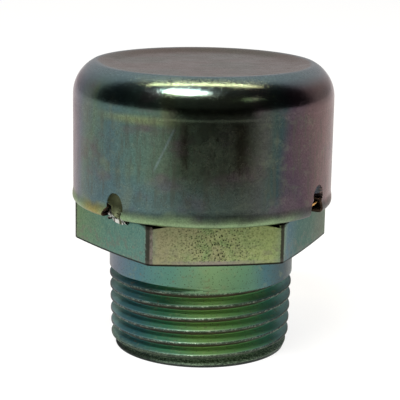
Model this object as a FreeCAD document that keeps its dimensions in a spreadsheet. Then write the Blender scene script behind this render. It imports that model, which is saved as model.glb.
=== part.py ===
import FreeCAD, Part
import math
import os

import Sketcher

# Breather vent with a male taper pipe thread, standing on its threaded end.
# Millimetres. The origin is the centre of the threaded end, +Z runs up the axis,
# and one flat of the hexagon faces -Y.

# Driving sizes, each set by itself
DRIVING_SIZES = {
    # Shank: taper blank of a 3/4 inch pipe thread, plain neck, chamfered end
    "thread_end_diameter": 26.03,
    "thread_taper": 0.0625,
    "thread_run": 11.5,
    "lead_chamfer_depth": 0.6,
    "lead_chamfer_height": 1.5,
    "neck_length": 4.25,
    "neck_flare": 0.8,
    "bore_diameter": 16.0,
    "bore_chamfer": 0.6,
    # Hexagon
    "hex_across_flats": 32.0,
    "hex_height": 6.31,
    "hex_corner_round": 0.8,
    "top_chamfer_diameter": 31.8,
    "top_chamfer_angle": 22.0,
    "base_chamfer_diameter": 32.0,
    "base_chamfer_angle": 10.0,
    # Cap: drawn sheet cup with a rounded shoulder, a dished top and a crimped rim
    "cap_diameter": 37.3,
    "cap_height": 20.0,
    "sheet_thickness": 0.9,
    "shoulder_radius": 5.2,
    "shoulder_sweep": 61.0,
    "inner_shoulder_steps": 2,
    "crest_width": 0.6,
    "crest_angle": 14.0,
    "dish_ramp_width": 3.0,
    "dish_angle": 9.0,
    "rim_flare": 0.12,
    "flare_height": 1.9,
    "rim_bend": 0.45,
    "rim_hole_diameter": 34.0,
    "rim_seat_gap": 0.05,
    # Stakes: dimples punched through the rim, each a tongue torn free at its lower sides
    "stake_angle": 50.0,
    "stake_height": 1.75,
    "punch_radius": 1.75,
    "punch_depth": 2.05,
    "punch_tip_radius": 0.9,
    "punch_tip_height": 2.1,
    "tongue_thickness": 0.8,
    "tongue_overhang": 0.3,
    "bite_clearance": 0.05,
    "tear_width": 0.9,
    "tear_offset": 1.75,
    "tear_height": 1.9,
    "tear_reach": 1.75,
    # Filter pad and the gauze disc under it
    "filter_clearance": 0.3,
    "screen_thickness": 0.5,
    "gauze_pitch": 2.2,
    "gauze_wire": 0.6,
    "gauze_gaps_per_row": 7,
}

# Sizes worked out from the driving ones
WORKED_SIZES = {
    "shank_end_radius": "thread_end_diameter / 2 - lead_chamfer_depth",
    "lead_top_radius": "(thread_end_diameter + lead_chamfer_height * thread_taper) / 2",
    "neck_radius": "(thread_end_diameter + thread_run * thread_taper) / 2",
    "hex_base": "thread_run + neck_length",
    "hex_top": "hex_base + hex_height",
    "hex_corner_radius": "hex_across_flats / 2 / cos(30)",
    "chamfer_reach": "hex_corner_radius * 1.1",
    "top_chamfer_drop": "(chamfer_reach - top_chamfer_diameter / 2) * tan(top_chamfer_angle)",
    "base_chamfer_rise": "(chamfer_reach - base_chamfer_diameter / 2) * tan(base_chamfer_angle)",
    "cap_radius": "cap_diameter / 2",
    "rim_hole_radius": "rim_hole_diameter / 2",
    "rim_drop": "(rim_hole_diameter - top_chamfer_diameter) / 2 * tan(top_chamfer_angle)",
    "rim_base": "hex_top - rim_drop + rim_seat_gap",
    "rim_inside": "rim_base + sheet_thickness",
    "flare_radius": "cap_radius + rim_flare",
    "flare_top": "rim_base + flare_height",
    "crest_top": "rim_base + cap_height",
    "shoulder_centre_radius": "cap_radius - shoulder_radius",
    "shoulder_top": "crest_top - crest_width * tan(crest_angle)",
    "shoulder_base": "shoulder_top - shoulder_radius * sin(shoulder_sweep)",
    "crest_ring_radius": "shoulder_centre_radius + shoulder_radius * cos(shoulder_sweep)"
                         " - crest_width",
    "dish_floor_radius": "crest_ring_radius - dish_ramp_width",
    "dish_floor": "crest_top - dish_ramp_width * tan(dish_angle)",
    "stake_centre_radius": "cap_radius - punch_depth + punch_radius",
    "stake_centre_height": "rim_base + stake_height",
    "tongue_base": "rim_base - tongue_overhang",
    "tear_top": "rim_base + tear_height",
    "stake_inside_radius": "cap_radius - punch_depth - tongue_thickness",
    "filter_radius": "min(stake_inside_radius; rim_hole_radius) - filter_clearance",
    "pad_base": "hex_top + screen_thickness",
    "pad_top": "dish_floor - sheet_thickness - filter_clearance",
    "gauze_span": "gauze_pitch * (gauze_gaps_per_row - 1)",
    "gauze_gap": "gauze_pitch - gauze_wire",
}

SHEET = "Sizes"


def cell(name):
    """The expression that reads one cell of the sheet."""
    return SHEET + "." + name


def make_sheet(doc):
    """Write the driving sizes as numbers and the worked ones as formulas."""
    sheet = doc.addObject("Spreadsheet::Sheet", SHEET)
    row = 0
    for name, value in DRIVING_SIZES.items():
        row += 1
        sheet.set("A%d" % row, name)
        sheet.set("B%d" % row, str(value))
        sheet.setAlias("B%d" % row, name)
    for name, formula in WORKED_SIZES.items():
        row += 1
        sheet.set("A%d" % row, name)
        sheet.set("B%d" % row, "=" + formula)
        sheet.setAlias("B%d" % row, name)
    doc.recompute()
    return sheet


def value_of(doc, expression):
    """The number that an expression on the sheet gives."""
    result = doc.getObject(SHEET).evalExpression(expression)
    return float(getattr(result, "Value", result))


def make_body(doc, label):
    body = doc.addObject("PartDesign::Body", label)
    body.Label = label
    return body


def origin_plane(body, role):
    """The body's own origin plane with this role."""
    for feature in body.Origin.OriginFeatures:
        if feature.Role == role:
            return feature
    raise ValueError("no origin plane " + role)


def make_sketch(body, name, role, height=None):
    """A sketch on an origin plane, raised to a height where one is given."""
    sketch = body.newObject("Sketcher::SketchObject", name)
    sketch.AttachmentSupport = [(origin_plane(body, role), "")]
    sketch.MapMode = "FlatFace"
    if height:
        sketch.setExpression("AttachmentOffset.Base.z", height)
    return sketch


def pin_coordinate(sketch, kind, geometry, point, expression, value):
    """Hold one coordinate of a sketch point at what the expression gives."""
    axis = -2 if kind == "DistanceX" else -1
    if abs(value) < 1e-9:
        sketch.addConstraint(Sketcher.Constraint("PointOnObject", geometry, point, axis))
        return
    index = sketch.addConstraint(Sketcher.Constraint(kind, -1, 1, geometry, point, value))
    sketch.setExpression("Constraints[%d]" % index, expression)


def arc_between(start, end, radius, turn):
    """Arc from start to end; turn is 1 where it bends left on its way, -1 where right."""
    chord = end - start
    half = chord.Length / 2
    rise = math.sqrt(max(radius * radius - half * half, 0.0))
    across = FreeCAD.Vector(-chord.y, chord.x, 0).normalize()
    centre = start + chord * 0.5 + across * rise * turn
    first, last = (start, end) if turn > 0 else (end, start)
    from_angle = math.atan2(first.y - centre.y, first.x - centre.x)
    to_angle = math.atan2(last.y - centre.y, last.x - centre.x)
    circle = Part.Circle(centre, FreeCAD.Vector(0, 0, 1), radius)
    return Part.ArcOfCircle(circle, from_angle, to_angle)


def draw_outline(sketch, outline):
    """Draw one closed outline in the sketch.

    Each corner is (x expression, y expression), followed by (radius expression, turn)
    where an arc leads on to the next corner in place of a line.
    """
    doc = sketch.Document
    corners = []
    for corner in outline:
        x = value_of(doc, corner[0])
        y = value_of(doc, corner[1])
        corners.append(FreeCAD.Vector(x, y, 0))
    ends = []
    for number, corner in enumerate(outline):
        start = corners[number]
        end = corners[(number + 1) % len(corners)]
        if len(corner) == 2:
            index = sketch.addGeometry(Part.LineSegment(start, end))
            ends.append((index, 1, 2))
            continue
        radius_expression, turn = corner[2]
        radius = value_of(doc, radius_expression)
        index = sketch.addGeometry(arc_between(start, end, radius, turn))
        ends.append((index, 1, 2) if turn > 0 else (index, 2, 1))
    for number, (index, _, end_point) in enumerate(ends):
        following, start_point, _ = ends[(number + 1) % len(ends)]
        sketch.addConstraint(
            Sketcher.Constraint("Coincident", index, end_point, following, start_point))
    for number, corner in enumerate(outline):
        index, start_point, _ = ends[number]
        here = corners[number]
        pin_coordinate(sketch, "DistanceX", index, start_point, corner[0], here.x)
        pin_coordinate(sketch, "DistanceY", index, start_point, corner[1], here.y)
        if len(corner) == 3:
            radius = value_of(doc, corner[2][0])
            bound = sketch.addConstraint(Sketcher.Constraint("Radius", index, radius))
            sketch.setExpression("Constraints[%d]" % bound, corner[2][0])


def revolve(body, name, outline, kind="PartDesign::Revolution"):
    """Turn an outline of (radius, height) corners about the axis, to add or to cut."""
    sketch = make_sketch(body, name + "_outline", "XZ_Plane")
    draw_outline(sketch, outline)
    body.Document.recompute()
    turned = body.newObject(kind, name)
    turned.Profile = sketch
    turned.ReferenceAxis = (sketch, ["V_Axis"])
    turned.Angle = 360.0
    body.Document.recompute()
    return turned


def upright_edges(shape):
    """Names of the straight edges that run along Z."""
    names = []
    for number, edge in enumerate(shape.Edges):
        first = edge.Vertexes[0].Point
        last = edge.Vertexes[-1].Point
        level = math.hypot(first.x - last.x, first.y - last.y)
        if level < 1e-6 and abs(first.z - last.z) > 1e-6:
            names.append("Edge%d" % (number + 1))
    return names


def add_hexagon(body):
    """Hexagonal bar with rounded corners, flats facing -Y and +Y."""
    sketch = make_sketch(body, "hexagon_outline", "XY_Plane", cell("hex_base"))
    corner = cell("hex_corner_radius")
    outline = []
    for turn in range(6):
        angle = 60 * turn
        outline.append(("%s * cos(%d)" % (corner, angle), "%s * sin(%d)" % (corner, angle)))
    draw_outline(sketch, outline)
    body.Document.recompute()
    pad = body.newObject("PartDesign::Pad", "hexagon")
    pad.Profile = sketch
    pad.setExpression("Length", cell("hex_height"))
    body.Document.recompute()
    corners = body.newObject("PartDesign::Fillet", "hexagon_corners")
    corners.Base = (pad, upright_edges(pad.Shape))
    corners.setExpression("Radius", cell("hex_corner_round"))
    body.Document.recompute()


def turn_chamfers(body):
    """Cones turned on the corners above and below the flats."""
    reach = cell("chamfer_reach")
    top = cell("hex_top")
    base = cell("hex_base")
    revolve(body, "top_chamfer", [
        (cell("top_chamfer_diameter") + " / 2", top),
        (reach, top + " - " + cell("top_chamfer_drop")),
        (reach, top),
    ], "PartDesign::Groove")
    revolve(body, "base_chamfer", [
        (cell("base_chamfer_diameter") + " / 2", base),
        (reach, base),
        (reach, base + " + " + cell("base_chamfer_rise")),
    ], "PartDesign::Groove")


def turn_shank(body):
    """Chamfered end, taper for the thread, plain neck and the flare under the hexagon."""
    neck = cell("neck_radius")
    base = cell("hex_base")
    flare = cell("neck_flare")
    middle = "%s + %s / 2" % (base, cell("hex_height"))
    revolve(body, "shank", [
        ("0", "0"),
        (cell("shank_end_radius"), "0"),
        (cell("lead_top_radius"), cell("lead_chamfer_height")),
        (neck, cell("thread_run")),
        (neck, base + " - " + flare),
        (neck + " + " + flare, base),
        (neck, middle),
        ("0", middle),
    ])


def bore_out(body):
    """Straight vent passage with a chamfered mouth at the threaded end."""
    bore = cell("bore_diameter") + " / 2"
    chamfer = cell("bore_chamfer")
    revolve(body, "bore", [
        ("0", "0"),
        (bore + " + " + chamfer, "0"),
        (bore, chamfer),
        (bore, cell("hex_top")),
        ("0", cell("hex_top")),
    ], "PartDesign::Groove")


def draw_cap(doc):
    """The cap before staking: an upside-down cup of even sheet, turned about the axis.

    Inside the shoulder, a few straight steps between points on the inner round keep
    the sheet even.
    """
    body = make_body(doc, "drawn_cap")
    sheet = cell("sheet_thickness")
    wall = cell("cap_radius")
    inner_wall = wall + " - " + sheet
    shoulder = cell("shoulder_radius")
    shoulder_base = cell("shoulder_base")
    crest_ring = cell("crest_ring_radius")
    crest_top = cell("crest_top")
    floor_radius = cell("dish_floor_radius")
    floor = cell("dish_floor")
    bend = cell("rim_bend")
    flare = cell("flare_radius")
    steps = DRIVING_SIZES["inner_shoulder_steps"]

    def on_shoulder(radius, share):
        turn = "%s * %s" % (cell("shoulder_sweep"), share)
        across = "%s + (%s) * cos(%s)" % (cell("shoulder_centre_radius"), radius, turn)
        up = "%s + (%s) * sin(%s)" % (shoulder_base, radius, turn)
        return across, up

    outside = [
        (cell("rim_hole_radius"), cell("rim_base")),
        (flare + " - " + bend, cell("rim_base")),
        (flare, cell("rim_base") + " + " + bend),
        (wall, cell("flare_top")),
        (wall, shoulder_base, (shoulder, 1)),
        on_shoulder(shoulder, "1"),
        (crest_ring, crest_top),
        (floor_radius, floor),
        ("0", floor),
    ]
    inside = [
        ("0", floor + " - " + sheet),
        (floor_radius, floor + " - " + sheet),
    ]
    for step in range(steps):
        share = "%d / %s" % (steps - step, cell("inner_shoulder_steps"))
        inside.append(on_shoulder(shoulder + " - " + sheet, share))
    inside += [
        (inner_wall, shoulder_base),
        (inner_wall, cell("flare_top")),
        (flare + " - " + sheet, cell("rim_inside")),
        (cell("rim_hole_radius"), cell("rim_inside")),
    ]
    revolve(body, "cap_sheet", outside + inside)
    return body


def make_tip(doc, name, growth):
    """Tapering tip of the punch above the post, on the +X side, grown all round."""
    tip = doc.addObject("Part::Cone", name)
    tip.setExpression("Radius1", "%s + (%s)" % (cell("punch_radius"), growth))
    tip.setExpression("Radius2", "%s + (%s)" % (cell("punch_tip_radius"), growth))
    tip.setExpression("Height", cell("punch_tip_height"))
    tip.setExpression("Placement.Base.x", cell("stake_centre_radius"))
    tip.setExpression("Placement.Base.z", cell("stake_centre_height"))
    return tip


def make_post(doc, name, radius, base):
    """Upright round bar under the tip, from a base height to the foot of the tip."""
    post = doc.addObject("Part::Cylinder", name)
    post.setExpression("Radius", radius)
    post.setExpression("Height", "%s - (%s)" % (cell("stake_centre_height"), base))
    post.setExpression("Placement.Base.x", cell("stake_centre_radius"))
    post.setExpression("Placement.Base.z", base)
    return post


def make_tear(doc, name, side):
    """Round-topped slot that frees one lower side of the tongue."""
    across = "%s * %d" % (cell("tear_offset"), side)
    inner = "%s - %s" % (cell("cap_radius"), cell("tear_reach"))
    length = "%s + %s" % (cell("tear_reach"), cell("punch_radius"))
    low = "%s - %s" % (cell("tongue_base"), cell("tongue_overhang"))
    arch_centre = "%s - %s / 2" % (cell("tear_top"), cell("tear_width"))
    slot = doc.addObject("Part::Box", name + "_slot")
    slot.setExpression("Length", length)
    slot.setExpression("Width", cell("tear_width"))
    slot.setExpression("Height", "%s - (%s)" % (arch_centre, low))
    slot.setExpression("Placement.Base.x", inner)
    slot.setExpression("Placement.Base.y", "%s - %s / 2" % (across, cell("tear_width")))
    slot.setExpression("Placement.Base.z", low)
    arch = doc.addObject("Part::Cylinder", name + "_arch")
    arch.setExpression("Radius", cell("tear_width") + " / 2")
    arch.setExpression("Height", length)
    arch.Placement.Rotation = FreeCAD.Rotation(FreeCAD.Vector(0, 1, 0), 90)
    arch.setExpression("Placement.Base.x", inner)
    arch.setExpression("Placement.Base.y", across)
    arch.setExpression("Placement.Base.z", arch_centre)
    return [slot, arch]


def join(doc, name, pieces):
    fused = doc.addObject("Part::MultiFuse", name)
    fused.Shapes = pieces
    return fused


def cut(doc, name, base, tool):
    result = doc.addObject("Part::Cut", name)
    result.Base = base
    result.Tool = tool
    return result


def mirror(doc, name, source, normal):
    copy = doc.addObject("Part::Mirroring", name)
    copy.Source = source
    copy.Base = FreeCAD.Vector(0, 0, 0)
    copy.Normal = normal
    return copy


def at_stakes(doc, name, tool):
    """Copies of a tool at the four stakes: one each side of the front flat and of the back."""
    tool.Placement.Rotation = FreeCAD.Rotation(FreeCAD.Vector(0, 0, 1), 1)
    tool.setExpression("Placement.Rotation.Angle", cell("stake_angle") + " - 90")
    front_left = mirror(doc, name + "_front_left", tool, FreeCAD.Vector(1, 0, 0))
    back_right = mirror(doc, name + "_back_right", tool, FreeCAD.Vector(0, 1, 0))
    back_left = mirror(doc, name + "_back_left", front_left, FreeCAD.Vector(0, 1, 0))
    return [tool, front_left, back_right, back_left]


def make_cap(doc):
    """Drawn cap with its four staked tongues."""
    drawn = draw_cap(doc)
    outer = "%s + %s" % (cell("punch_radius"), cell("tongue_thickness"))
    low = "%s - %s" % (cell("tongue_base"), cell("tongue_overhang"))
    punch = [make_tip(doc, "punch_tip", "0")]
    punch.append(make_post(doc, "punch_post", cell("punch_radius"), low))
    punch += make_tear(doc, "left_tear", -1)
    punch += make_tear(doc, "right_tear", 1)
    pocket = join(doc, "pocket", punch)
    bulge = join(doc, "bulge", [
        make_tip(doc, "bulge_tip", cell("tongue_thickness")),
        make_post(doc, "bulge_post", outer, cell("tongue_base")),
    ])
    inside = doc.addObject("Part::Cylinder", "inside_of_wall")
    inside.setExpression("Radius", cell("cap_radius"))
    inside.setExpression("Height", cell("cap_height"))
    inside.setExpression("Placement.Base.z", cell("tongue_base"))
    trimmed = doc.addObject("Part::Common", "trimmed_bulge")
    trimmed.Base = bulge
    trimmed.Tool = inside
    pocket_for_tongue = join(doc, "pocket_for_tongue", punch)
    tongue = cut(doc, "tongue", trimmed, pocket_for_tongue)
    doc.recompute()
    pockets = join(doc, "pockets", at_stakes(doc, "pocket", pocket))
    pierced = cut(doc, "pierced_cap", drawn, pockets)
    cap = join(doc, "cap", [pierced] + at_stakes(doc, "tongue", tongue))
    cap.Label = "cap"
    return cap


def make_vent_body(doc):
    """Hexagon, neck, thread blank and bore, nicked where the tongues bite."""
    turned = make_body(doc, "turned_body")
    add_hexagon(turned)
    turn_chamfers(turned)
    turn_shank(turned)
    bore_out(turned)
    clearance = cell("bite_clearance")
    outer = "%s + %s + %s" % (cell("punch_radius"), cell("tongue_thickness"), clearance)
    base = "%s - %s" % (cell("tongue_base"), clearance)
    bite = doc.addObject("Part::Compound", "bite")
    bite.Links = [make_post(doc, "bite_post", outer, base)]
    doc.recompute()
    bites = join(doc, "bites", at_stakes(doc, "bite", bite))
    body = cut(doc, "body", turned, bites)
    body.Label = "body"
    return body


def make_filter_pad(doc):
    """Round pad of knitted wire that fills the cap."""
    pad = doc.addObject("Part::Cylinder", "filter_pad")
    pad.setExpression("Radius", cell("filter_radius"))
    pad.setExpression("Height", "%s - %s" % (cell("pad_top"), cell("pad_base")))
    pad.setExpression("Placement.Base.z", cell("pad_base"))
    return pad


def make_filter_screen(doc):
    """Gauze disc on the hexagon's top face, open over the bore."""
    body = make_body(doc, "filter_screen")
    revolve(body, "disc", [
        ("0", cell("hex_top")),
        (cell("filter_radius"), cell("hex_top")),
        (cell("filter_radius"), cell("pad_base")),
        ("0", cell("pad_base")),
    ])
    sketch = make_sketch(body, "gap_outline", "XY_Plane", cell("pad_base"))
    far = "-%s / 2 + %s / 2" % (cell("gauze_span"), cell("gauze_gap"))
    near = "-%s / 2 - %s / 2" % (cell("gauze_span"), cell("gauze_gap"))
    draw_outline(sketch, [(near, near), (far, near), (far, far), (near, far)])
    doc.recompute()
    gap = body.newObject("PartDesign::Pocket", "gap")
    gap.Profile = sketch
    gap.Type = "ThroughAll"
    doc.recompute()
    rows = body.newObject("PartDesign::MultiTransform", "gaps")
    rows.Originals = [gap]
    steps = []
    for name, axis in (("along", "H_Axis"), ("across", "V_Axis")):
        step = body.newObject("PartDesign::LinearPattern", "gaps_" + name)
        step.Direction = (sketch, [axis])
        step.setExpression("Length", cell("gauze_span"))
        step.setExpression("Occurrences", cell("gauze_gaps_per_row"))
        steps.append(step)
    rows.Transformations = steps
    body.Tip = rows
    doc.recompute()
    return body


def check_document(doc, pieces):
    """Stop on a failed object or a sub-part without a sound solid."""
    for item in doc.Objects:
        if "Invalid" in item.State or "Error" in item.State:
            raise RuntimeError("failed object " + item.Name)
    for piece in pieces:
        if piece.Shape.isNull() or not piece.Shape.isValid():
            raise RuntimeError("unsound shape in " + piece.Label)
        if len(piece.Shape.Solids) != 1:
            raise RuntimeError("not one solid in " + piece.Label)


def main():
    doc = FreeCAD.newDocument("breather_vent")
    make_sheet(doc)
    pieces = [
        make_vent_body(doc),
        make_cap(doc),
        make_filter_pad(doc),
        make_filter_screen(doc),
    ]
    doc.recompute()
    check_document(doc, pieces)
    os.makedirs("parts", exist_ok=True)
    for piece in pieces:
        piece.Shape.exportStep("parts/" + piece.Label + ".step")
        box = piece.Shape.BoundBox
        print("%s: volume %.1f, faces %d, z %.3f to %.3f, width %.3f" % (
            piece.Label, piece.Shape.Volume, len(piece.Shape.Faces),
            box.ZMin, box.ZMax, box.XLength))


main()
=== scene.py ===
"""Looks of a tank breather vent: plated cap, hexagonal body with a pipe thread, wire filter."""

import logging
import math
from collections.abc import Callable, Sequence
from dataclasses import dataclass
from enum import Enum, IntEnum

import bmesh
import bpy
from bmesh.types import BMEdge, BMesh, BMVert
from mathutils import Matrix, Vector, noise


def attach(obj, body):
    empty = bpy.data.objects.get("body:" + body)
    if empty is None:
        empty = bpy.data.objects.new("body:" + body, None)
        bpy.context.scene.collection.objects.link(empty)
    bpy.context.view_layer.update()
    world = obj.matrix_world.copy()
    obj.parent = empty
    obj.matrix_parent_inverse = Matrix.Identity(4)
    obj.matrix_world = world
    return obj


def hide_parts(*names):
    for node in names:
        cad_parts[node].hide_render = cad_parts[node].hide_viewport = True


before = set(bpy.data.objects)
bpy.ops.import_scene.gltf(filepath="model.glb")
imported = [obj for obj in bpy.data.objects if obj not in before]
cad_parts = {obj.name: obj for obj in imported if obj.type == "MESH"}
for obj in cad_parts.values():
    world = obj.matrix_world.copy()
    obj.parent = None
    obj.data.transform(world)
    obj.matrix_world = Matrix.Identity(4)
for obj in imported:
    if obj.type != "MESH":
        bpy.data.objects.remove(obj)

LOG = logging.getLogger("breather_vent")
MM = 0.001

# Sizes in millimetres that more than one piece or finish is built to, and the thread's taper
WALL_RADIUS = 18.65
RIM_BASE = 21.665
HEX_BASE = 15.75
THREAD_TOP = 11.6
THREAD_TAPER = 1 / 32

Colour = tuple[float, float, float]
Factors = tuple[float, float, float]
OfAngle = Callable[[float], float]


class Node(Enum):
    """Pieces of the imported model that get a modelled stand-in."""

    BODY = "body"
    CAP = "cap"
    PAD = "filter_pad"
    SCREEN = "filter_screen"


class Slot(Enum):
    """Material slots of the record."""

    BODY = "plated_body"
    CAP = "plated_cap"
    PAD = "bronze_wire"
    SCREEN = "brass_gauze"


class CapFinish(IntEnum):
    """Places of the cap's finishes in its list of materials."""

    PLATING = 0
    CUT_EDGE = 1
    PUNCHED = 2
    TORN_STEEL = 3
    GOLDEN_BURR = 4


def tint(red: int, green: int, blue: int) -> Colour:
    """Linear colour from the 0 to 255 values that a screen shows.

    Args:
        red: Red, 0 to 255.
        green: Green, 0 to 255.
        blue: Blue, 0 to 255.

    Returns:
        The three linear values.
    """
    def linear(value: int) -> float:
        """One channel, from its screen value."""
        share = value / 255
        return share / 12.92 if share <= 0.04045 else ((share + 0.055) / 1.055) ** 2.4

    return linear(red), linear(green), linear(blue)


def ease(value: float, low: float, high: float) -> float:
    """Smooth step from 0 at low to 1 at high.

    Args:
        value: Where on the way.
        low: Where the step starts.
        high: Where it ends.

    Returns:
        A share from 0 to 1.
    """
    share = min(max((value - low) / (high - low), 0.0), 1.0)
    return share * share * (3 - 2 * share)


def angle_of(point: Vector) -> float:
    """Angle about the axis, from -Y towards +X, in radians."""
    return math.atan2(point.x, -point.y)


def at_angle(radius: float, angle: float, height: float) -> Vector:
    """Point at a radius, an angle from -Y towards +X and a height, all in millimetres."""
    return Vector((radius * math.sin(angle), -radius * math.cos(angle), height)) * MM


class Wire:
    """One socket of a shader graph, with arithmetic that adds Math nodes."""

    def __init__(self, graph: "Graph", socket: bpy.types.NodeSocket) -> None:
        """Remember the graph and the socket."""
        self.graph = graph
        self.socket = socket

    def math(self, operation: str, *others: "Wire | float") -> "Wire":
        """Math node of this value and the others.

        Args:
            operation: The node's operation.
            *others: Second and third values.

        Returns:
            The result.
        """
        values = {0: self}
        values.update({place + 1: other for place, other in enumerate(others)})
        return self.graph.node("ShaderNodeMath", {"operation": operation}, values)

    def __add__(self, other: "Wire | float") -> "Wire":
        """Sum."""
        return self.math("ADD", other)

    def __sub__(self, other: "Wire | float") -> "Wire":
        """Difference."""
        return self.math("SUBTRACT", other)

    def __mul__(self, other: "Wire | float") -> "Wire":
        """Product."""
        return self.math("MULTIPLY", other)

    def __truediv__(self, other: "Wire | float") -> "Wire":
        """Quotient."""
        return self.math("DIVIDE", other)

    def __rsub__(self, other: float) -> "Wire":
        """A number less this value."""
        return self.graph.node("ShaderNodeMath", {"operation": "SUBTRACT"}, {0: other, 1: self})

    def __rtruediv__(self, other: float) -> "Wire":
        """A number over this value."""
        return self.graph.node("ShaderNodeMath", {"operation": "DIVIDE"}, {0: other, 1: self})

    __radd__ = __add__
    __rmul__ = __mul__

    def step(self, low: float, high: float) -> "Wire":
        """Smooth step from 0 at low to 1 at high; low may be the larger."""
        return self.graph.node(
            "ShaderNodeMapRange", {"interpolation_type": "SMOOTHSTEP"}, {0: self, 1: low, 2: high})

    def near(self, centre: float, reach: float) -> "Wire":
        """1 at a centre, falling smoothly to 0 at a reach from it."""
        return (self - centre).math("ABSOLUTE").step(reach, 0.0)


class Graph:
    """Shader graph of a material or a world, with the coordinates that its patterns use."""

    def __init__(self, owner: bpy.types.Material | bpy.types.World) -> None:
        """Start with an empty graph.

        Args:
            owner: The material or world that the graph belongs to.
        """
        owner.use_nodes = True
        self.owner = owner
        self.tree = owner.node_tree
        self.tree.nodes.clear()

    @classmethod
    def of_finish(cls, name: str) -> "Graph":
        """Graph of a new material."""
        return cls(bpy.data.materials.new(name))

    def node(self, kind: str, settings: dict | None = None,
             inputs: dict | None = None, result: int | str | None = 0) -> Wire | None:
        """Add a node.

        Args:
            kind: The node's type.
            settings: Its own properties; stops are a colour ramp's places and colours.
            inputs: Values or wires, by socket number or name.
            result: Which output to return, if any.

        Returns:
            The chosen output.
        """
        made = self.tree.nodes.new(kind)
        for name, value in (settings or {}).items():
            if name == "stops":
                self.set_stops(made.color_ramp, value)
            else:
                setattr(made, name, value)
        for name, value in (inputs or {}).items():
            if isinstance(value, Wire):
                self.tree.links.new(value.socket, made.inputs[name])
            else:
                made.inputs[name].default_value = value
        return None if result is None else Wire(self, made.outputs[result])

    @staticmethod
    def set_stops(ramp: bpy.types.ColorRamp, stops: Sequence[tuple[float, Colour]]) -> None:
        """Give a colour ramp its stops.

        Args:
            ramp: The ramp.
            stops: Places from 0 to 1 with linear colours.
        """
        while len(ramp.elements) > 1:
            ramp.elements.remove(ramp.elements[-1])
        for number, (place, colour) in enumerate(stops):
            stop = ramp.elements[0] if number == 0 else ramp.elements.new(place)
            stop.position = place
            stop.color = (*colour, 1.0)

    def outputs(self, kind: str, inputs: dict | None = None) -> dict[str, Wire]:
        """Add a node and give all its outputs.

        Args:
            kind: The node's type.
            inputs: Values or wires, by socket number or name.

        Returns:
            The outputs by name.
        """
        made = self.node(kind, None, inputs).socket.node
        return {output.name: Wire(self, output) for output in made.outputs}

    def point(self) -> Wire:
        """Object coordinates, in metres."""
        return self.node("ShaderNodeTexCoord", result="Object")

    def axes(self) -> tuple[Wire, Wire, Wire]:
        """Object coordinates apart, in millimetres."""
        apart = self.outputs("ShaderNodeSeparateXYZ", {0: self.point()})
        return apart["X"] / MM, apart["Y"] / MM, apart["Z"] / MM

    def round(self) -> tuple[Wire, Wire, Wire]:
        """Round coordinates about the object's axis.

        Returns:
            Radius and height in millimetres, and the angle from -Y towards +X in degrees.
        """
        across, along, height = self.axes()
        radius = (across * across + along * along).math("SQRT")
        angle = across.math("ARCTAN2", -1 * along) * math.degrees(1)
        return radius, height, angle

    def noise(self, per_mm: float, detail: float = 2.0, stretch: Factors = (1, 1, 1),
              shift: float = 0.0, rough: float = 0.5) -> Wire:
        """Noise that runs through the solid.

        Args:
            per_mm: Bumps in a millimetre.
            detail: Octaves of finer noise.
            stretch: Factors on the three coordinates.
            shift: Moves the pattern, so that two noises differ.
            rough: Share of the finer octaves.

        Returns:
            Noise, about 0.25 to 0.75.
        """
        mapped = self.node("ShaderNodeMapping", None, {
            0: self.point(), "Location": (shift, shift * 0.7, shift * 1.3), "Scale": stretch})
        return self.node("ShaderNodeTexNoise", None, {
            "Vector": mapped, "Scale": per_mm / MM, "Detail": detail, "Roughness": rough})

    def pits(self, angle: Wire, height: Wire, radius: float, per_mm: float) -> Wire:
        """Distance to the nearest point of a cell pattern on an unrolled skin.

        Args:
            angle: Angle about the axis, in degrees.
            height: Height in mm.
            radius: The skin's mean radius in mm.
            per_mm: Cells in a millimetre.

        Returns:
            The distance in cells, 0 at a cell's point.
        """
        arc = angle * math.radians(radius)
        skin = self.node("ShaderNodeCombineXYZ", None, {0: arc, 1: height})
        return self.node("ShaderNodeTexVoronoi", {"voronoi_dimensions": "2D"}, {
            "Vector": skin, "Scale": per_mm})

    def ramp(self, value: Wire, stops: Sequence[tuple[float, Colour]]) -> Wire:
        """Colour ramp over a value from 0 to 1."""
        return self.node("ShaderNodeValToRGB", {"stops": stops}, {0: value})

    def tint_around(self, angle: Wire, drift: Wire,
                    stops: Sequence[tuple[float, Colour]]) -> Wire:
        """Colour by the angle from the front, blended from stop to stop.

        Args:
            angle: Angle about the axis, in degrees.
            drift: Shift of the stops, in degrees.
            stops: Angles from -180 to 180 with linear colours.

        Returns:
            The colour.
        """
        places = [((degrees + 180) / 360, colour) for degrees, colour in stops]
        return self.ramp((angle + drift + 180) / 360, places)

    def blend(self, share: Wire | float, first: Wire | Colour, second: Wire | Colour,
              kind: str = "MIX") -> Wire:
        """Colour mix.

        Args:
            share: 0 gives the first, 1 the second.
            first: First colour.
            second: Second colour.
            kind: How the second goes over the first.

        Returns:
            The mixed colour.
        """
        inputs = {"Factor": share}
        for place, colour in ((6, first), (7, second)):
            inputs[place] = colour if isinstance(colour, Wire) else (*colour, 1.0)
        settings = {"data_type": "RGBA", "blend_type": kind}
        return self.node("ShaderNodeMix", settings, inputs, result=2)

    def bump(self, height: Wire, depth_mm: float, under: Wire | None = None) -> Wire:
        """Bumped normal.

        Args:
            height: Height pattern, 0 to 1.
            depth_mm: Depth of a full step.
            under: A bumped normal that this one adds to.

        Returns:
            The normal.
        """
        inputs = {"Height": height, "Distance": depth_mm * MM, "Strength": 1.0}
        if under:
            inputs["Normal"] = under
        return self.node("ShaderNodeBump", None, inputs)

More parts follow.
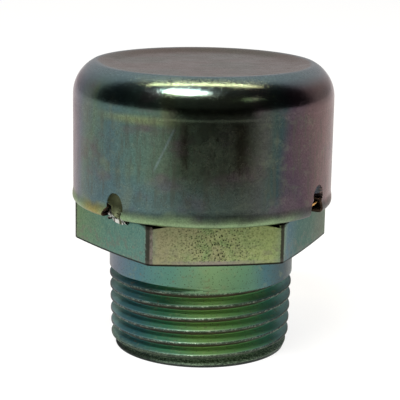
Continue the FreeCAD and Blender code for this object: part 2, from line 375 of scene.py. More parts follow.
    def surface(self, **inputs: "Wire | float | Colour") -> bpy.types.Material:
        """Finish the material with a Principled shader.

        Args:
            **inputs: Its sockets, with underscores for spaces.

        Returns:
            The material.
        """
        named = {}
        for name, value in inputs.items():
            is_colour = isinstance(value, tuple)
            named[name.replace("_", " ")] = (*value, 1.0) if is_colour else value
        return self.end(self.node("ShaderNodeBsdfPrincipled", None, named))

    def end(self, shader: Wire) -> bpy.types.Material | bpy.types.World:
        """Lead a shader to the output.

        Args:
            shader: The shader.

        Returns:
            The material or world, now finished.
        """
        is_world = isinstance(self.owner, bpy.types.World)
        kind = "ShaderNodeOutputWorld" if is_world else "ShaderNodeOutputMaterial"
        self.node(kind, None, {"Surface": shader}, result=None)
        return self.owner


@dataclass(frozen=True)
class CapPlating:
    """Iridescent chromate on the drawn cap: teal and green with mauve and yellow clouds."""

    roughness: float = 0.27
    polish: float = 0.09
    edge_tint: Colour = (0.88, 0.82, 0.84)
    shoulder_base: float = 36.9
    crest_height: float = 41.45

    def around(self, graph: Graph, angle: Wire) -> Wire:
        """Main tint of the wall, which changes slowly round the cap.

        Args:
            graph: Graph of the finish.
            angle: Angle from the front, in degrees.

        Returns:
            The tint.
        """
        drift = (graph.noise(0.09, 2.0, (1, 1, 0.35), 0.3) - 0.5) * 46
        back = tint(92, 122, 118)
        return graph.tint_around(angle, drift, (
            (-180, back),
            (-150, tint(104, 124, 96)),
            (-118, tint(96, 96, 112)),
            (-97, tint(138, 108, 114)),
            (-86, tint(122, 100, 110)),
            (-75, tint(98, 110, 120)),
            (-66, tint(98, 122, 106)),
            (-56, tint(86, 112, 116)),
            (-36, tint(94, 122, 112)),
            (-16, tint(92, 110, 92)),
            (4, tint(84, 90, 78)),
            (13, tint(84, 86, 82)),
            (20, tint(68, 84, 80)),
            (27, tint(62, 80, 82)),
            (34, tint(86, 72, 84)),
            (40, tint(102, 82, 88)),
            (53, tint(134, 107, 103)),
            (66, tint(154, 130, 124)),
            (88, tint(150, 132, 122)),
            (120, tint(96, 108, 112)),
            (152, tint(108, 126, 92)),
            (180, back),
        ))

    def clouded(self, graph: Graph, angle: Wire) -> Wire:
        """Tint of the wall with its yellow-green and mauve clouds.

        Args:
            graph: Graph of the finish.
            angle: Angle from the front, in degrees.

        Returns:
            The tint.
        """
        colour = self.around(graph, angle)
        # the yellow-green clouds lie mostly on the left of the front and behind
        cloud = graph.noise(0.22, 3.0, (1, 1, 0.6), 1.7).step(0.52, 0.7)
        side = angle.near(-40, 36) + angle.near(140, 60)
        colour = graph.blend(cloud * side * 0.75, colour, tint(130, 134, 92))
        mauve = graph.noise(0.16, 3.0, (1, 1, 1.6), 4.1).step(0.53, 0.7)
        return graph.blend(mauve * 0.6, colour, tint(104, 88, 96))

    def marked(self, graph: Graph, colour: Wire, height: Wire, angle: Wire) -> Wire:
        """Marks that drawing and handling have left on the wall, and a painted reflection line under
        the die's step.

        Args:
            graph: Graph of the finish.
            colour: Tint under the marks.
            height: Height, in millimetres.
            angle: Angle from the front, in degrees.

        Returns:
            The tint.
        """
        # a painted yellow-green reflection line under the die's step, scuffs down the front
        under = height.near(35.9, 1.0) * angle.near(-36, 30)
        colour = graph.blend(under * 0.5, colour, tint(150, 158, 100))
        front = angle.near(-2, 30) * height.step(36.5, 34.5) * height.step(24.5, 28.0)
        scuff = graph.noise(2.4, 5.0, (1, 1, 0.4), 21.3, 0.8)
        colour = graph.blend(scuff.step(0.5, 0.64) * front * 0.6, colour, tint(38, 38, 28))
        colour = graph.blend(scuff.step(0.46, 0.36) * front * 0.35, colour, tint(122, 122, 100))
        # two brown drawing marks and one long scratch on the front of the wall
        marks = (angle.near(-14.6, 3.6) + angle.near(8.5, 6.0)) * height.step(36.3, 35.3)
        marks = marks * (height + scuff * 3).step(29.5, 32.0) * (0.45 + scuff * 0.7)
        colour = graph.blend(marks * 0.85, colour, tint(44, 36, 26))
        long_scratch = (angle - (height - 35.0) * 1.47).near(-19.0, 0.9)
        long_scratch = long_scratch * height.step(35.2, 34.8) * height.step(28.6, 30.0)
        return graph.blend(long_scratch * 0.42, colour, tint(136, 156, 160))

    def rim(self, graph: Graph, height: Wire, angle: Wire) -> Wire:
        """Mask of the rim, whose upper limit is wavy."""
        wave = (graph.noise(0.3, 2.0, shift=2.2) - 0.5) * 2.6
        return (height + wave + angle.near(12, 46) * 0.45).step(24.0, 22.1)

    def rimmed(self, graph: Graph, colour: Wire, rim: Wire, height: Wire, angle: Wire) -> Wire:
        """Blue-grey belt low on the wall and a green rim, golden beside the left stake.

        Args:
            graph: Graph of the finish.
            colour: Tint of the wall.
            rim: Mask of the rim.
            height: Height, in millimetres.
            angle: Angle from the front, in degrees.

        Returns:
            The tint.
        """
        left = angle.near(-40, 75) + angle.near(150, 70)
        low = height.step(29.5, 25.5) * height.step(21.9, 23.6) * left
        colour = graph.blend(low * 0.6, colour, tint(90, 116, 124))
        green = graph.blend(angle.step(22, 44) * angle.step(120, 90),
                            tint(156, 184, 138), tint(100, 110, 106))
        gold = angle.near(-61, 13) + angle.near(118, 14)
        green = graph.blend(gold, green, tint(176, 162, 84))
        return graph.blend(rim * 0.8, colour, green)

    def topped(self, graph: Graph, colour: Wire, radius: Wire, height: Wire,
               angle: Wire) -> Wire:
        """Painted blue-grey reflection on the crest round a beige dish, and a painted dark reflection
        on the shoulder's right.

        Args:
            graph: Graph of the finish.
            colour: Tint of the wall and rim.
            radius: Distance from the axis, in millimetres.
            height: Height, in millimetres.
            angle: Angle from the front, in degrees.

        Returns:
            The tint.
        """
        # painted reflection: the crest is lightened to blue-grey
        crest = height.step(self.shoulder_base + 2.2, self.crest_height)
        colour = graph.blend(crest * 0.85, colour, tint(134, 158, 164))
        spread = (graph.noise(0.12, 2.0, shift=6.3) - 0.5) * 1.2
        dish = (radius + spread).step(15.5, 14.8) * height.step(40.0, 41.0)
        warm = graph.noise(0.1, 2.0, shift=8.8).step(0.4, 0.6)
        top = graph.blend(warm, tint(102, 104, 88), tint(114, 102, 88))
        colour = graph.blend(dish, colour, top)
        # painted dark reflection on the right of the shoulder
        painted_dark_reflection = angle.near(60, 28) * height.near(38.6, 2.4)
        return graph.blend(painted_dark_reflection * 0.55, colour, tint(44, 48, 42))

    def worn(self, graph: Graph, colour: Wire, grain: Wire, height: Wire) -> Wire:
        """Fine mottling, streaks, smears, dull specks and scratches.

        Args:
            graph: Graph of the finish.
            colour: Tint under the wear.
            grain: Fine noise of the plating.
            height: Height, in millimetres.

        Returns:
            The tint.
        """
        colour = graph.blend(grain.step(0.3, 0.7) * 0.4, colour, tint(72, 82, 72), "MULTIPLY")
        wall = height.step(37.5, 35.5)
        streak = graph.noise(1.1, 5.0, (1, 1, 0.16), 12.4, 0.7).step(0.47, 0.62)
        streak = streak * wall * height.step(23.4, 25.5)
        colour = graph.blend(streak * 0.45, colour, tint(78, 80, 70))
        smear = graph.noise(0.5, 5.0, (1, 1, 1.6), 14.9, 0.7).step(0.5, 0.68)
        colour = graph.blend(smear * wall * 0.22, colour, tint(114, 124, 104))
        specks = graph.noise(7.0, 2.0, shift=3.3).step(0.34, 0.27)
        colour = graph.blend(specks * 0.55, colour, tint(48, 50, 40))
        return graph.blend(self.scratches(graph) * 0.3, colour, tint(176, 178, 150))

    def scratches(self, graph: Graph) -> Wire:
        """Sparse fine scratches at several slants.

        Args:
            graph: Graph of the finish.

        Returns:
            A mask, 1 on a scratch.
        """
        total = None
        for number, slant in enumerate((0.55, -0.8, 1.2)):
            mapped = graph.node("ShaderNodeMapping", None, {
                0: graph.point(), "Rotation": (slant, 0.3 * number, slant * 1.7),
                "Scale": (1, 0.05, 1)})
            line = graph.node("ShaderNodeTexNoise", None, {
                "Vector": mapped, "Scale": (1.6 + 0.4 * number) / MM, "Detail": 1.0})
            thin = line.near(0.5, 0.006)
            gate = graph.noise(0.35, 1.0, shift=10.0 + number).step(0.56, 0.64)
            total = thin * gate if total is None else total + thin * gate
        return total.math("MINIMUM", 1.0)

    def build(self) -> bpy.types.Material:
        """Build the finish.

        Returns:
            The finish as a material.
        """
        graph = Graph.of_finish("cap_plating")
        radius, height, angle = graph.round()
        rim = self.rim(graph, height, angle)
        grain = graph.noise(4.5, 4.0, shift=0.9, rough=0.65)
        colour = self.marked(graph, self.clouded(graph, angle), height, angle)
        colour = self.rimmed(graph, colour, rim, height, angle)
        colour = self.topped(graph, colour, radius, height, angle)
        colour = self.worn(graph, colour, grain, height)
        rough = self.roughness + (graph.noise(0.5, 3.0, shift=5.5) - 0.5) * 0.16 + rim * 0.1
        shoulder = height.step(self.shoulder_base - 0.6, self.shoulder_base + 0.6)
        rough = rough - shoulder * height.step(41.3, 40.4) * self.polish
        # handling has scuffed the bright band, and the crimp's crease is dull
        handled = graph.noise(3.4, 5.0, (1, 1, 0.6), 9.9, 0.85).step(0.53, 0.69)
        rough = rough + shoulder * handled * 0.08
        rough = rough + height.near(22.9, 0.9) * 0.16
        normal = graph.bump(graph.noise(0.8, 2.0, shift=2.9), 0.01)
        # the drawing die's edge left a faint step under the shoulder
        normal = graph.bump(height.step(36.0, 36.5), 0.02, normal)
        drawn = graph.noise(2.2, 3.0, (1, 1, 0.12), 7.7)
        normal = graph.bump(drawn * 0.6 + grain * 0.4, 0.008, normal)
        normal = graph.bump(handled * shoulder, 0.003, normal)
        return graph.surface(Base_Color=colour, Metallic=1.0, Roughness=rough, Normal=normal,
                             Specular_Tint=self.edge_tint)


@dataclass(frozen=True)
class BodyPlating:
    """Iridescent chromate on the turned body: mottled flats, green neck and thread."""

    hex_base: float = HEX_BASE
    thread_top: float = THREAD_TOP
    thread_taper: float = THREAD_TAPER
    base_rise: float = 0.088
    edge_tint: Colour = (0.78, 0.84, 0.84)

    def flats(self, graph: Graph, angle: Wire, front: Wire) -> Wire:
        """Tint of the hexagon: yellow-green, teal and blue flats with soft blotches.

        Args:
            graph: Graph of the finish.
            angle: Angle from the front, in degrees.
            front: Mask of the mottled flats, the front one and one behind.

        Returns:
            The tint.
        """
        drift = (graph.noise(0.12, 2.0, shift=0.4) - 0.5) * 10
        back = tint(96, 128, 120)
        around = graph.tint_around(angle, drift, (
            (-180, back),
            (-152, tint(140, 146, 104)),
            (-100, tint(140, 142, 100)),
            (-86, tint(104, 132, 98)),
            (-62, tint(90, 130, 117)),
            (-34, tint(90, 131, 122)),
            (-27, tint(154, 150, 116)),
            (0, tint(156, 164, 114)),
            (26, tint(150, 164, 106)),
            (34, tint(76, 108, 122)),
            (48, tint(52, 94, 86)),
            (66, tint(66, 98, 84)),
            (84, tint(100, 104, 88)),
            (96, tint(112, 132, 110)),
            (146, tint(92, 122, 128)),
            (180, back),
        ))
        blotch = graph.noise(0.55, 3.0, shift=1.9).step(0.4, 0.66)
        around = graph.blend(blotch * front * 0.75, around, tint(116, 150, 94))
        pink = graph.noise(0.4, 3.0, shift=5.2).step(0.5, 0.62)
        return graph.blend(pink * front * 0.4, around, tint(150, 140, 112))

    def pitted(self, graph: Graph, colour: Wire, front: Wire, height: Wire,
               angle: Wire) -> Wire:
        """Dark pits, thick on the mottled flats and sparse elsewhere, with grain and stains.

        Args:
            graph: Graph of the finish.
            colour: Tint of the flats.
            front: Mask of the mottled flats.
            height: Height, in millimetres.
            angle: Angle from the front, in degrees.

        Returns:
            The tint.
        """
        gate = graph.noise(0.9, 2.0, shift=6.6).step(0.36, 0.48)
        pits = graph.pits(angle, height, 17.0, 1.9).step(0.27, 0.13) * gate
        small = graph.pits(angle + 7.0, height, 17.0, 3.1).step(0.36, 0.18)
        small = small * graph.noise(1.4, 2.0, shift=7.7).step(0.45, 0.6)
        dark = (pits + small * 0.6).math("MINIMUM", 1.0) * (front * 0.9 + 0.1)
        colour = graph.blend(dark, colour, tint(34, 32, 22))
        fine = graph.noise(3.6, 3.0, shift=2.6, rough=0.8)
        rugged = front * 0.5 + 0.5
        colour = graph.blend(fine.step(0.5, 0.34) * rugged * 0.65, colour, tint(58, 70, 50))
        colour = graph.blend(fine.step(0.5, 0.68) * rugged * 0.45, colour, tint(180, 184, 144))
        brown = graph.noise(0.9, 4.0, shift=13.4, rough=0.7).step(0.48, 0.6)
        brown = brown * (1 - front) * height.step(20.0, 17.5)
        return graph.blend(brown * 0.5, colour, tint(112, 108, 98))

    def edges(self, graph: Graph, colour: Wire, front: Wire, radius: Wire, height: Wire,
              angle: Wire) -> Wire:
        """Worn, rough corners with painted shade on their left, and a worn lower edge over a painted
        dark shade line.

        Args:
            graph: Graph of the finish.
            colour: Tint of the flats.
            front: Mask of the mottled flats.
            radius: Distance from the axis, in millimetres.
            height: Height, in millimetres.
            angle: Angle from the front, in degrees.

        Returns:
            The tint.
        """
        corner = 30 - angle.math("ABSOLUTE").math("PINGPONG", 30.0)
        ragged = (graph.noise(2.0, 3.0, shift=4.4, rough=0.7) - 0.5) * 2.4
        narrow = angle.step(5, 25) * angle.step(170, 150)
        worn = (corner + ragged * (1.2 - narrow * 0.8) + narrow * 0.75).step(1.95, 1.45)
        patchy = graph.noise(2.6, 3.0, (1, 1, 0.4), 9.4, 0.7).step(0.36, 0.6)
        # painted light and shade: the worn corners are dark, and the right half of the front left
        # corner is painted lit
        lit = (angle + 29.4).step(-0.4, 0.4) * (1 - narrow) * (0.35 + patchy * 0.65)
        worn_with_painted_shade = graph.blend(lit, tint(50, 46, 40), tint(138, 128, 120))
        colour = graph.blend(worn * 0.92, colour, worn_with_painted_shade)
        above = height - self.hex_base - (radius - 16.0) * self.base_rise
        edge = (above + ragged * 0.3).step(0.95, 0.55) * (front * 0.85 + 0.1)
        colour = graph.blend(edge * 0.8, colour, tint(148, 138, 134))
        # painted shade: a near-black line along the underside of the lower edge
        line = (above + ragged * 0.03).step(0.36, 0.24)
        return graph.blend(line * 0.95, colour, tint(22, 20, 18))

    def hexagon(self, graph: Graph, radius: Wire, height: Wire, angle: Wire) -> Wire:
        """Tint of the hexagon: flats, their pits and their worn edges.

        Args:
            graph: Graph of the finish.
            radius: Distance from the axis, in millimetres.
            height: Height, in millimetres.
            angle: Angle from the front, in degrees.

        Returns:
            The tint.
        """
        front = angle.near(0, 33) + angle.near(-125, 30)
        colour = self.flats(graph, angle, front)
        colour = self.pitted(graph, colour, front, height, angle)
        return self.edges(graph, colour, front, radius, height, angle)

    def neck(self, graph: Graph, angle: Wire, drift: Wire) -> Wire:
        """Tint of the neck and the crests: green in front, blue and mauve to the sides.

        Args:
            graph: Graph of the finish.
            angle: Angle from the front, in degrees.
            drift: Shift of the tints' borders, in degrees.

        Returns:
            The tint.
        """
        back = tint(96, 128, 124)
        return graph.tint_around(angle, drift, (
            (-180, back),
            (-140, tint(108, 138, 104)),
            (-108, tint(104, 120, 134)),
            (-88, tint(124, 112, 126)),
            (-70, tint(98, 112, 126)),
            (-48, tint(84, 122, 130)),
            (-26, tint(92, 136, 120)),
            (-2, tint(122, 154, 110)),
            (18, tint(98, 136, 104)),
            (34, tint(76, 110, 116)),
            (56, tint(66, 78, 84)),
            (74, tint(86, 80, 80)),
            (92, tint(116, 124, 128)),
            (130, tint(104, 136, 106)),
            (180, back),
        ))

    def grooves(self, graph: Graph, angle: Wire, drift: Wire, straight: Wire) -> Wire:
        """Tint of the thread's grooves, with painted light towards the roots and painted shade
        towards the crests.

        Args:
            graph: Graph of the finish.
            angle: Angle from the front, in degrees.
            drift: Shift of the tints' borders, in degrees.
            straight: Distance from the axis in millimetres, less the thread's taper.

        Returns:
            The tint.
        """
        back = tint(70, 112, 98)
        deep = graph.tint_around(angle, drift, (
            (-180, back),
            (-80, tint(100, 134, 132)),
            (-68, tint(48, 94, 100)),
            (-54, tint(34, 82, 90)),
            (-30, tint(48, 104, 74)),
            (-5, tint(90, 126, 62)),
            (20, tint(74, 120, 66)),
            (48, tint(50, 104, 92)),
            (66, tint(96, 136, 138)),
            (180, back),
        ))
        # painted light brightens the roots, which the crests shade, and painted shade darkens the
        # flanks below the crests
        painted_root_light = straight.step(12.75, 12.05)
        deep = graph.blend(painted_root_light * 0.75, deep, tint(176, 184, 160), "DODGE")
        return graph.blend((1 - painted_root_light) * 0.3, deep, tint(120, 130, 112), "MULTIPLY")

    def stained(self, graph: Graph, colour: Wire, height: Wire, angle: Wire) -> Wire:
        """Mottling, grain, round spots and brown stains of the shank.

        Args:
            graph: Graph of the finish.
            colour: Tint of the shank.
            height: Height, in millimetres.
            angle: Angle from the front, in degrees.

        Returns:
            The tint.
        """
        mottle = graph.noise(1.1, 4.0, shift=3.9, rough=0.6)
        colour = graph.blend(mottle.step(0.56, 0.7) * 0.25, colour, tint(136, 142, 104))
        fine = graph.noise(6.0, 3.0, shift=7.2, rough=0.7)
        colour = graph.blend(fine.step(0.44, 0.3) * 0.6, colour, tint(62, 72, 54))
        spots = graph.pits(angle, height, 13.3, 1.3).step(0.13, 0.06)
        colour = graph.blend(spots * 0.6, colour, tint(60, 56, 44))
        stain = graph.noise(0.8, 4.0, shift=17.6, rough=0.7).step(0.6, 0.68)
        return graph.blend(stain * 0.45, colour, tint(112, 96, 76))

    def shank(self, graph: Graph, straight: Wire, height: Wire, angle: Wire) -> Wire:
        """Tint of neck and thread, with painted red-brown shade on the flanks that face down, worn
        crests, and painted shade on the end.

        Args:
            graph: Graph of the finish.
            straight: Distance from the axis in millimetres, less the thread's taper.
            height: Height, in millimetres.
            angle: Angle from the front, in degrees.

        Returns:
            The tint.
        """
        drift = (graph.noise(0.15, 2.0, (1, 1, 0.5), 9.1) - 0.5) * 24
        threaded = height.step(self.thread_top + 0.2, self.thread_top - 0.1)
        colour = graph.blend(
            straight.step(12.98, 12.8) * threaded, self.neck(graph, angle, drift),
            self.grooves(graph, angle, drift, straight))
        colour = self.stained(graph, colour, height, angle)
        # the flanks that face down get painted red-brown shade, the crests are worn in places
        facing = graph.node("ShaderNodeTexCoord", result="Normal")
        tilt = graph.outputs("ShaderNodeSeparateXYZ", {0: facing})["Z"]
        down_flank_shade = tilt.step(-0.25, -0.6) * threaded
        shade_mottle = graph.noise(1.6, 3.0, shift=15.2).step(0.4, 0.6)
        brown = graph.blend(shade_mottle, tint(56, 44, 38), tint(74, 46, 42))
        colour = graph.blend(down_flank_shade * 0.9, colour, brown)
        worn = graph.noise(3.0, 5.0, shift=8.1, rough=0.8).step(0.5, 0.6)
        crest = straight.step(12.93, 13.0) * height.step(11.3, 10.9)
        colour = graph.blend(crest * 0.85, colour, graph.blend(
            worn, tint(50, 58, 48), tint(150, 160, 144)))
        # painted shade: the end is mottled dark near the floor, and its lowest edge is painted near
        # black
        end = height.step(2.2, 1.5)
        dull = graph.noise(3.2, 5.0, (1, 1, 2.0), 5.9, 0.85).step(0.46, 0.6)
        painted_end_shade = graph.blend(dull, tint(26, 36, 26), tint(134, 154, 126))
        colour = graph.blend(end * 0.85, colour, painted_end_shade)
        return graph.blend(height.step(0.6, 0.2) * 0.9, colour, tint(18, 22, 18))

    def build(self) -> bpy.types.Material:
        """Build the finish.

        Returns:
            The finish as a material.
        """
        graph = Graph.of_finish("body_plating")
        radius, height, angle = graph.round()
        straight = radius - height * self.thread_taper
        is_hex = height.step(self.hex_base - 0.12, self.hex_base + 0.02)
        groove = straight.step(13.0, 12.9)
        groove = groove * height.step(self.thread_top + 0.7, self.thread_top + 0.2)
        colour = graph.blend(
            is_hex, self.shank(graph, straight, height, angle),
            self.hexagon(graph, radius, height, angle))
        grain = graph.noise(5.0, 4.0, shift=1.1, rough=0.65)
        rough = 0.33 + is_hex * 0.1 + (graph.noise(0.9, 3.0, shift=6.1) - 0.5) * 0.2
        normal = graph.bump(graph.noise(1.4, 3.0, shift=4.8), 0.012)
        normal = graph.bump(grain, 0.012, normal)
        lip = height.step(11.3, 10.9) * (1 - groove)
        runout = height.near(11.8, 0.7) * angle.near(0, 26)
        # painted shade: the hexagon's top under the cap's rim is darkened
        under_cap_shade = height.step(21.3, 21.5)
        colour = graph.blend(under_cap_shade * 0.9, colour, tint(34, 28, 24))
        # a painted golden glint on the hexagon at the right-hand stake
        painted_golden_glint = under_cap_shade * angle.near(70, 26) * radius.step(17.4, 17.0)
        colour = graph.blend(painted_golden_glint, colour, tint(250, 196, 116))
        # chromate lies thicker and duller in the thread's grooves
        rough = rough + groove * 0.24 + lip * 0.14 + runout * 0.3 + under_cap_shade * 0.2
        return graph.surface(
            Base_Color=colour, Metallic=0.97 - groove * 0.62 - runout * 0.35,
            Roughness=rough, Normal=normal, Specular_Tint=self.edge_tint)


@dataclass(frozen=True)
class PunchedSkin:
    """Chromate that the punch has burnished: olive on the left of the cap, slate on its right."""

    left: Colour = tint(82, 88, 62)
    right: Colour = tint(88, 94, 102)

    def build(self) -> bpy.types.Material:
        """Build the finish.

        Returns:
            The finish as a material.
        """
        graph = Graph.of_finish("punched_skin")
        across = graph.axes()[0]
        colour = graph.blend(across.step(-3.0, 3.0), self.left, self.right)
        stain = graph.noise(1.6, 4.0, shift=3.1, rough=0.6)
        colour = graph.blend(stain.step(0.44, 0.64) * 0.5, colour, tint(62, 64, 46))
        normal = graph.bump(stain, 0.02)
        return graph.surface(Base_Color=colour, Metallic=0.8, Roughness=0.55, Normal=normal)


@dataclass(frozen=True)
class BareMetal:
    """Plain metal without plating, such as a torn edge or a wire."""

    name: str
    bright: Colour
    dull: Colour
    roughness: float = 0.25

    def build(self) -> bpy.types.Material:
        """Build the finish.

        Returns:
            The finish as a material.
        """
        graph = Graph.of_finish(self.name)
        stain = graph.noise(1.2, 3.0).step(0.4, 0.62)
        colour = graph.blend(stain, self.bright, self.dull)
        rough = self.roughness + (graph.noise(3.0, 2.0, shift=2.0) - 0.5) * 0.2
        normal = graph.bump(graph.noise(6.0, 3.0), 0.01)
        return graph.surface(Base_Color=colour, Metallic=1.0, Roughness=rough, Normal=normal)


@dataclass(frozen=True)
class BurrWithPaintedGlints:
    """Torn edge of the right-hand stake: dark, with small painted golden glints half way up."""

    glint_height: float = 23.7
    glint_reach: float = 1.0

    def build(self) -> bpy.types.Material:
        """Build the finish.

        Returns:
            The finish as a material.
        """
        graph = Graph.of_finish("golden_burr")
        height = graph.round()[1]
        spots = graph.noise(1.5, 3.0, (1, 1, 0.7), 6.3, 0.6).step(0.44, 0.5)
        # painted golden glints
        glint = spots * height.near(self.glint_height, self.glint_reach)
        stain = graph.noise(1.1, 3.0, shift=2.7).step(0.42, 0.6)
        colour = graph.blend(stain, tint(30, 22, 20), tint(84, 60, 50))
        colour = graph.blend(glint, colour, tint(246, 196, 122))
        rough = 0.5 - glint * 0.2
        return graph.surface(
            Base_Color=colour, Metallic=0.8, Roughness=rough,
            Normal=graph.bump(stain, 0.02))


@dataclass
class Ring:
    """One ring of a turned skin: its radius and height may change with the angle."""

    radius: float | OfAngle
    height: float | OfAngle
    gather: float = 0.0

    def place(self, angle: float) -> Vector:
        """Point of the ring at an angle, in metres.

        Args:
            angle: Angle about the axis, in radians.

        Returns:
            The point, its column gathered towards the hexagon's corners where asked.
        """
        turned = angle + self.gather * math.sin(6 * angle) / 6
        radius = self.radius(turned) if callable(self.radius) else self.radius
        height = self.height(turned) if callable(self.height) else self.height
        return at_angle(radius, turned, height)


def turn_skin(mesh: BMesh, rings: Sequence[Ring], columns: int) -> list[BMVert]:
    """Spin a row of points about the axis, then lay each ring where it belongs.

    Args:
        mesh: The mesh that gets the skin.
        rings: Its rings, in order.
        columns: Points in each ring.

    Returns:
        The new points.
    """
    number = mesh.verts.layers.int.get("ring") or mesh.verts.layers.int.new("ring")
    before = set(mesh.verts)
    row = []
    for place, _ in enumerate(rings):
        point = mesh.verts.new((0, -0.01, place * MM))
        point[number] = place
        row.append(point)
    edges = [mesh.edges.new(pair) for pair in zip(row, row[1:])]
    bmesh.ops.spin(
        mesh, geom=row + edges, cent=(0, 0, 0), axis=(0, 0, 1), angle=math.tau,
        steps=columns, use_merge=True)
    made = [point for point in mesh.verts if point not in before]
    for point in made:
        ring = rings[round(point.co.z / MM)]
        point.co = ring.place(angle_of(point.co))
    return made


def arc(centre: tuple[float, float], radius: float, start: float, end: float,
        steps: int) -> list[tuple[float, float]]:
    """Points on an arc of a section.

    Args:
        centre: Centre, as radius and height.
        radius: The arc's radius.
        start: Where it starts, in degrees from outwards towards up.
        end: Where it ends.
        steps: Number of steps; the end is included and the start isn't.

    Returns:
        Points as radius and height.
    """
    points = []
    for step in range(1, steps + 1):
        turn = math.radians(start + (end - start) * step / steps)
        points.append((centre[0] + radius * math.cos(turn), centre[1] + radius * math.sin(turn)))
    return points


def finish_piece(mesh: BMesh, name: str, node: Node | None,
                 finishes: Sequence[bpy.types.Material], sharp: float) -> bpy.types.Object:
    """Turn a mesh into a piece that rides on the vent.

    Args:
        mesh: The mesh, which is freed.
        name: Name of the piece.
        node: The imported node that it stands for, if any.
        finishes: Its materials.
        sharp: Angle in degrees above which an edge stays sharp.

    Returns:
        The piece.
    """
    data = bpy.data.meshes.new(name)
    mesh.to_mesh(data)
    mesh.free()
    for finish in finishes:
        data.materials.append(finish)
    data.shade_smooth()
    data.set_sharp_from_angle(angle=math.radians(sharp))
    piece = bpy.data.objects.new(name, data)
    bpy.context.scene.collection.objects.link(piece)
    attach(piece, "root")
    if node:
        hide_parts(node.value)
    LOG.info("%s: %d faces", name, len(data.polygons))
    return piece


@dataclass(frozen=True)
class Stake:
    """One punched dimple of the cap's rim: a tongue pressed in and torn free at its sides.

    Lengths along the wall and above the rim are in millimetres from the stake's centre line.
    """

    angle: float
    tear_top: float = 2.3
    top: float = 3.7
    half_width: float = 2.05
    bulge: float = 1.5
    bowl_base: float = -0.1
    bowl_half_width: float = 1.42
    lean: float = 0.64
    depth: float = 1.6
    held_share: float = 0.2
    free_share: float = 0.65
    droop: float = 0.85
    held_top: float = 1.3
    torn_finish: CapFinish = CapFinish.TORN_STEEL
    wall_radius: float = WALL_RADIUS
    rim_base: float = RIM_BASE
    lip_radius: float = 18.12
    lip_width: float = 1.12
    lip_slope: float = 0.2
    lip_fade: float = 0.8
    ragged: float = 0.16
    ragged_per_mm: float = 1.6
    skin_share: float = 0.06
    skin_below: float = 0.4
    patch_side: float = 0.9
    patch_above: float = 0.5

    def local(self, point: Vector) -> tuple[float, float]:
        """Arc length from the stake's centre line and height above the rim, in mm."""
        off = (angle_of(point) - math.radians(self.angle) + math.pi) % math.tau - math.pi
        return off * self.wall_radius, point.z / MM - self.rim_base

    def near(self, point: Vector) -> bool:
        """Whether a point lies in the patch that needs finer faces.

        Args:
            point: A point of the sheet's outer side.

        Returns:
            True in the patch.
        """
        along, up = self.local(point)
        beside = self.half_width + self.patch_side
        return abs(along) < beside and up < self.top + self.patch_above

    def bowl(self, along: float, up: float) -> float:
        """Square of the round dish's depth share.

        Args:
            along: Arc length from the centre line.
            up: Height above the rim.

        Returns:
            1 in the dish's middle, 0 from its edge on.
        """
        half = (self.top - self.bowl_base) / 2
        across = (along - self.lean) / self.bowl_half_width
        above = (up - self.bowl_base - half) / half
        return max(1 - across * across - above * above, 0.0)

    def covers(self, point: Vector) -> bool:
        """Whether a point lies in the tongue.

        Args:
            point: A point of the sheet's outer side.

        Returns:
            True in the tongue.
        """
        along, up = self.local(point)
        width = self.half_width * (1 - (max(up, 0.0) / self.tear_top) ** self.bulge)
        return (up < self.tear_top and abs(along) < width) or self.bowl(along, up) > 0

    def tears(self, point: Vector) -> bool:
        """Whether the tongue's edge is torn free at a point; it holds longer beside the dish."""
        along, up = self.local(point)
        return up < (self.held_top if along * self.lean > 0 else self.tear_top - 0.1)

    def share(self, along: float, up: float) -> float:
        """How deep a point of the tongue is pressed in.

        Args:
            along: Arc length from the centre line.
            up: Height above the rim.

        Returns:
            A share of the full depth.
        """
        free = 0.5 - math.copysign(0.5, self.lean) * along / self.half_width
        lip = self.held_share + (self.free_share - self.held_share) * min(max(free, 0), 1)
        return max(self.bowl(along, up) ** 0.5, lip * ease(self.tear_top - up, 0.0, self.lip_fade))

    def press(self, point: Vector) -> None:
        """Push a point of the tongue inwards and bend the rim's lip down.

        Args:
            point: The point, which is changed.
        """
        along, up = self.local(point)
        share = self.share(along, up)
        radius = math.hypot(point.x, point.y) / MM
        ragged = self.ragged * noise.noise(point / MM * self.ragged_per_mm)
        ragged *= ease(up, 1.0, 0.1)
        inset = self.lip_radius - radius
        lowered = 0.0
        if inset > 0 and up < 0.1:
            full = max(1 - (along / self.half_width) ** 4, 0.0)
            lowered = self.droop * full * inset / self.lip_width
            radius = self.lip_radius - self.lip_slope * inset
        radius -= self.depth * share - ragged
        point.xyz = at_angle(radius, angle_of(point), point.z / MM - lowered + ragged)

    def punch(self, mesh: BMesh, cuts: int) -> None:
        """Refine the wall round the stake, tear it along the tongue's sides and press it in.

        Args:
            mesh: The cap's sheet.
            cuts: Cuts across each edge of the patch.
        """
        edges = [edge for edge in mesh.edges if all(self.near(end.co) for end in edge.verts)]
        bmesh.ops.subdivide_edges(mesh, edges=edges, cuts=cuts, use_grid_fill=True)
        tongue = {face for face in mesh.faces if self.covers(face.calc_center_median())}
        torn = [edge for edge in {edge for face in tongue for edge in face.edges}
                if len(edge.link_faces) == 2 and not tongue.issuperset(edge.link_faces)
                and all(self.tears(end.co) for end in edge.verts)]
        bmesh.ops.split_edges(mesh, edges=torn)
        for face in tongue:
            along, up = self.local(face.calc_center_median())
            is_dish = self.bowl(along, up) > self.skin_share
            keeps_skin = is_dish or up > self.tear_top - self.skin_below
            face.material_index = CapFinish.PUNCHED if keeps_skin else self.torn_finish
        for point in {point for face in tongue for point in face.verts}:
            self.press(point.co)


# Front left and right as in the photograph; the pair behind is guessed from the left one
STAKES = (
    Stake(-48.8),
    Stake(51.8, tear_top=3.1, top=4.2, half_width=1.8, bulge=2.6, bowl_base=1.2,
          bowl_half_width=1.4, lean=0.35, depth=1.9, held_share=1.0, free_share=1.0,
          droop=0.1, held_top=2.2, torn_finish=CapFinish.GOLDEN_BURR),
    Stake(130.0),
    Stake(-130.0, top=4.0, half_width=1.85, lean=-0.5),
)


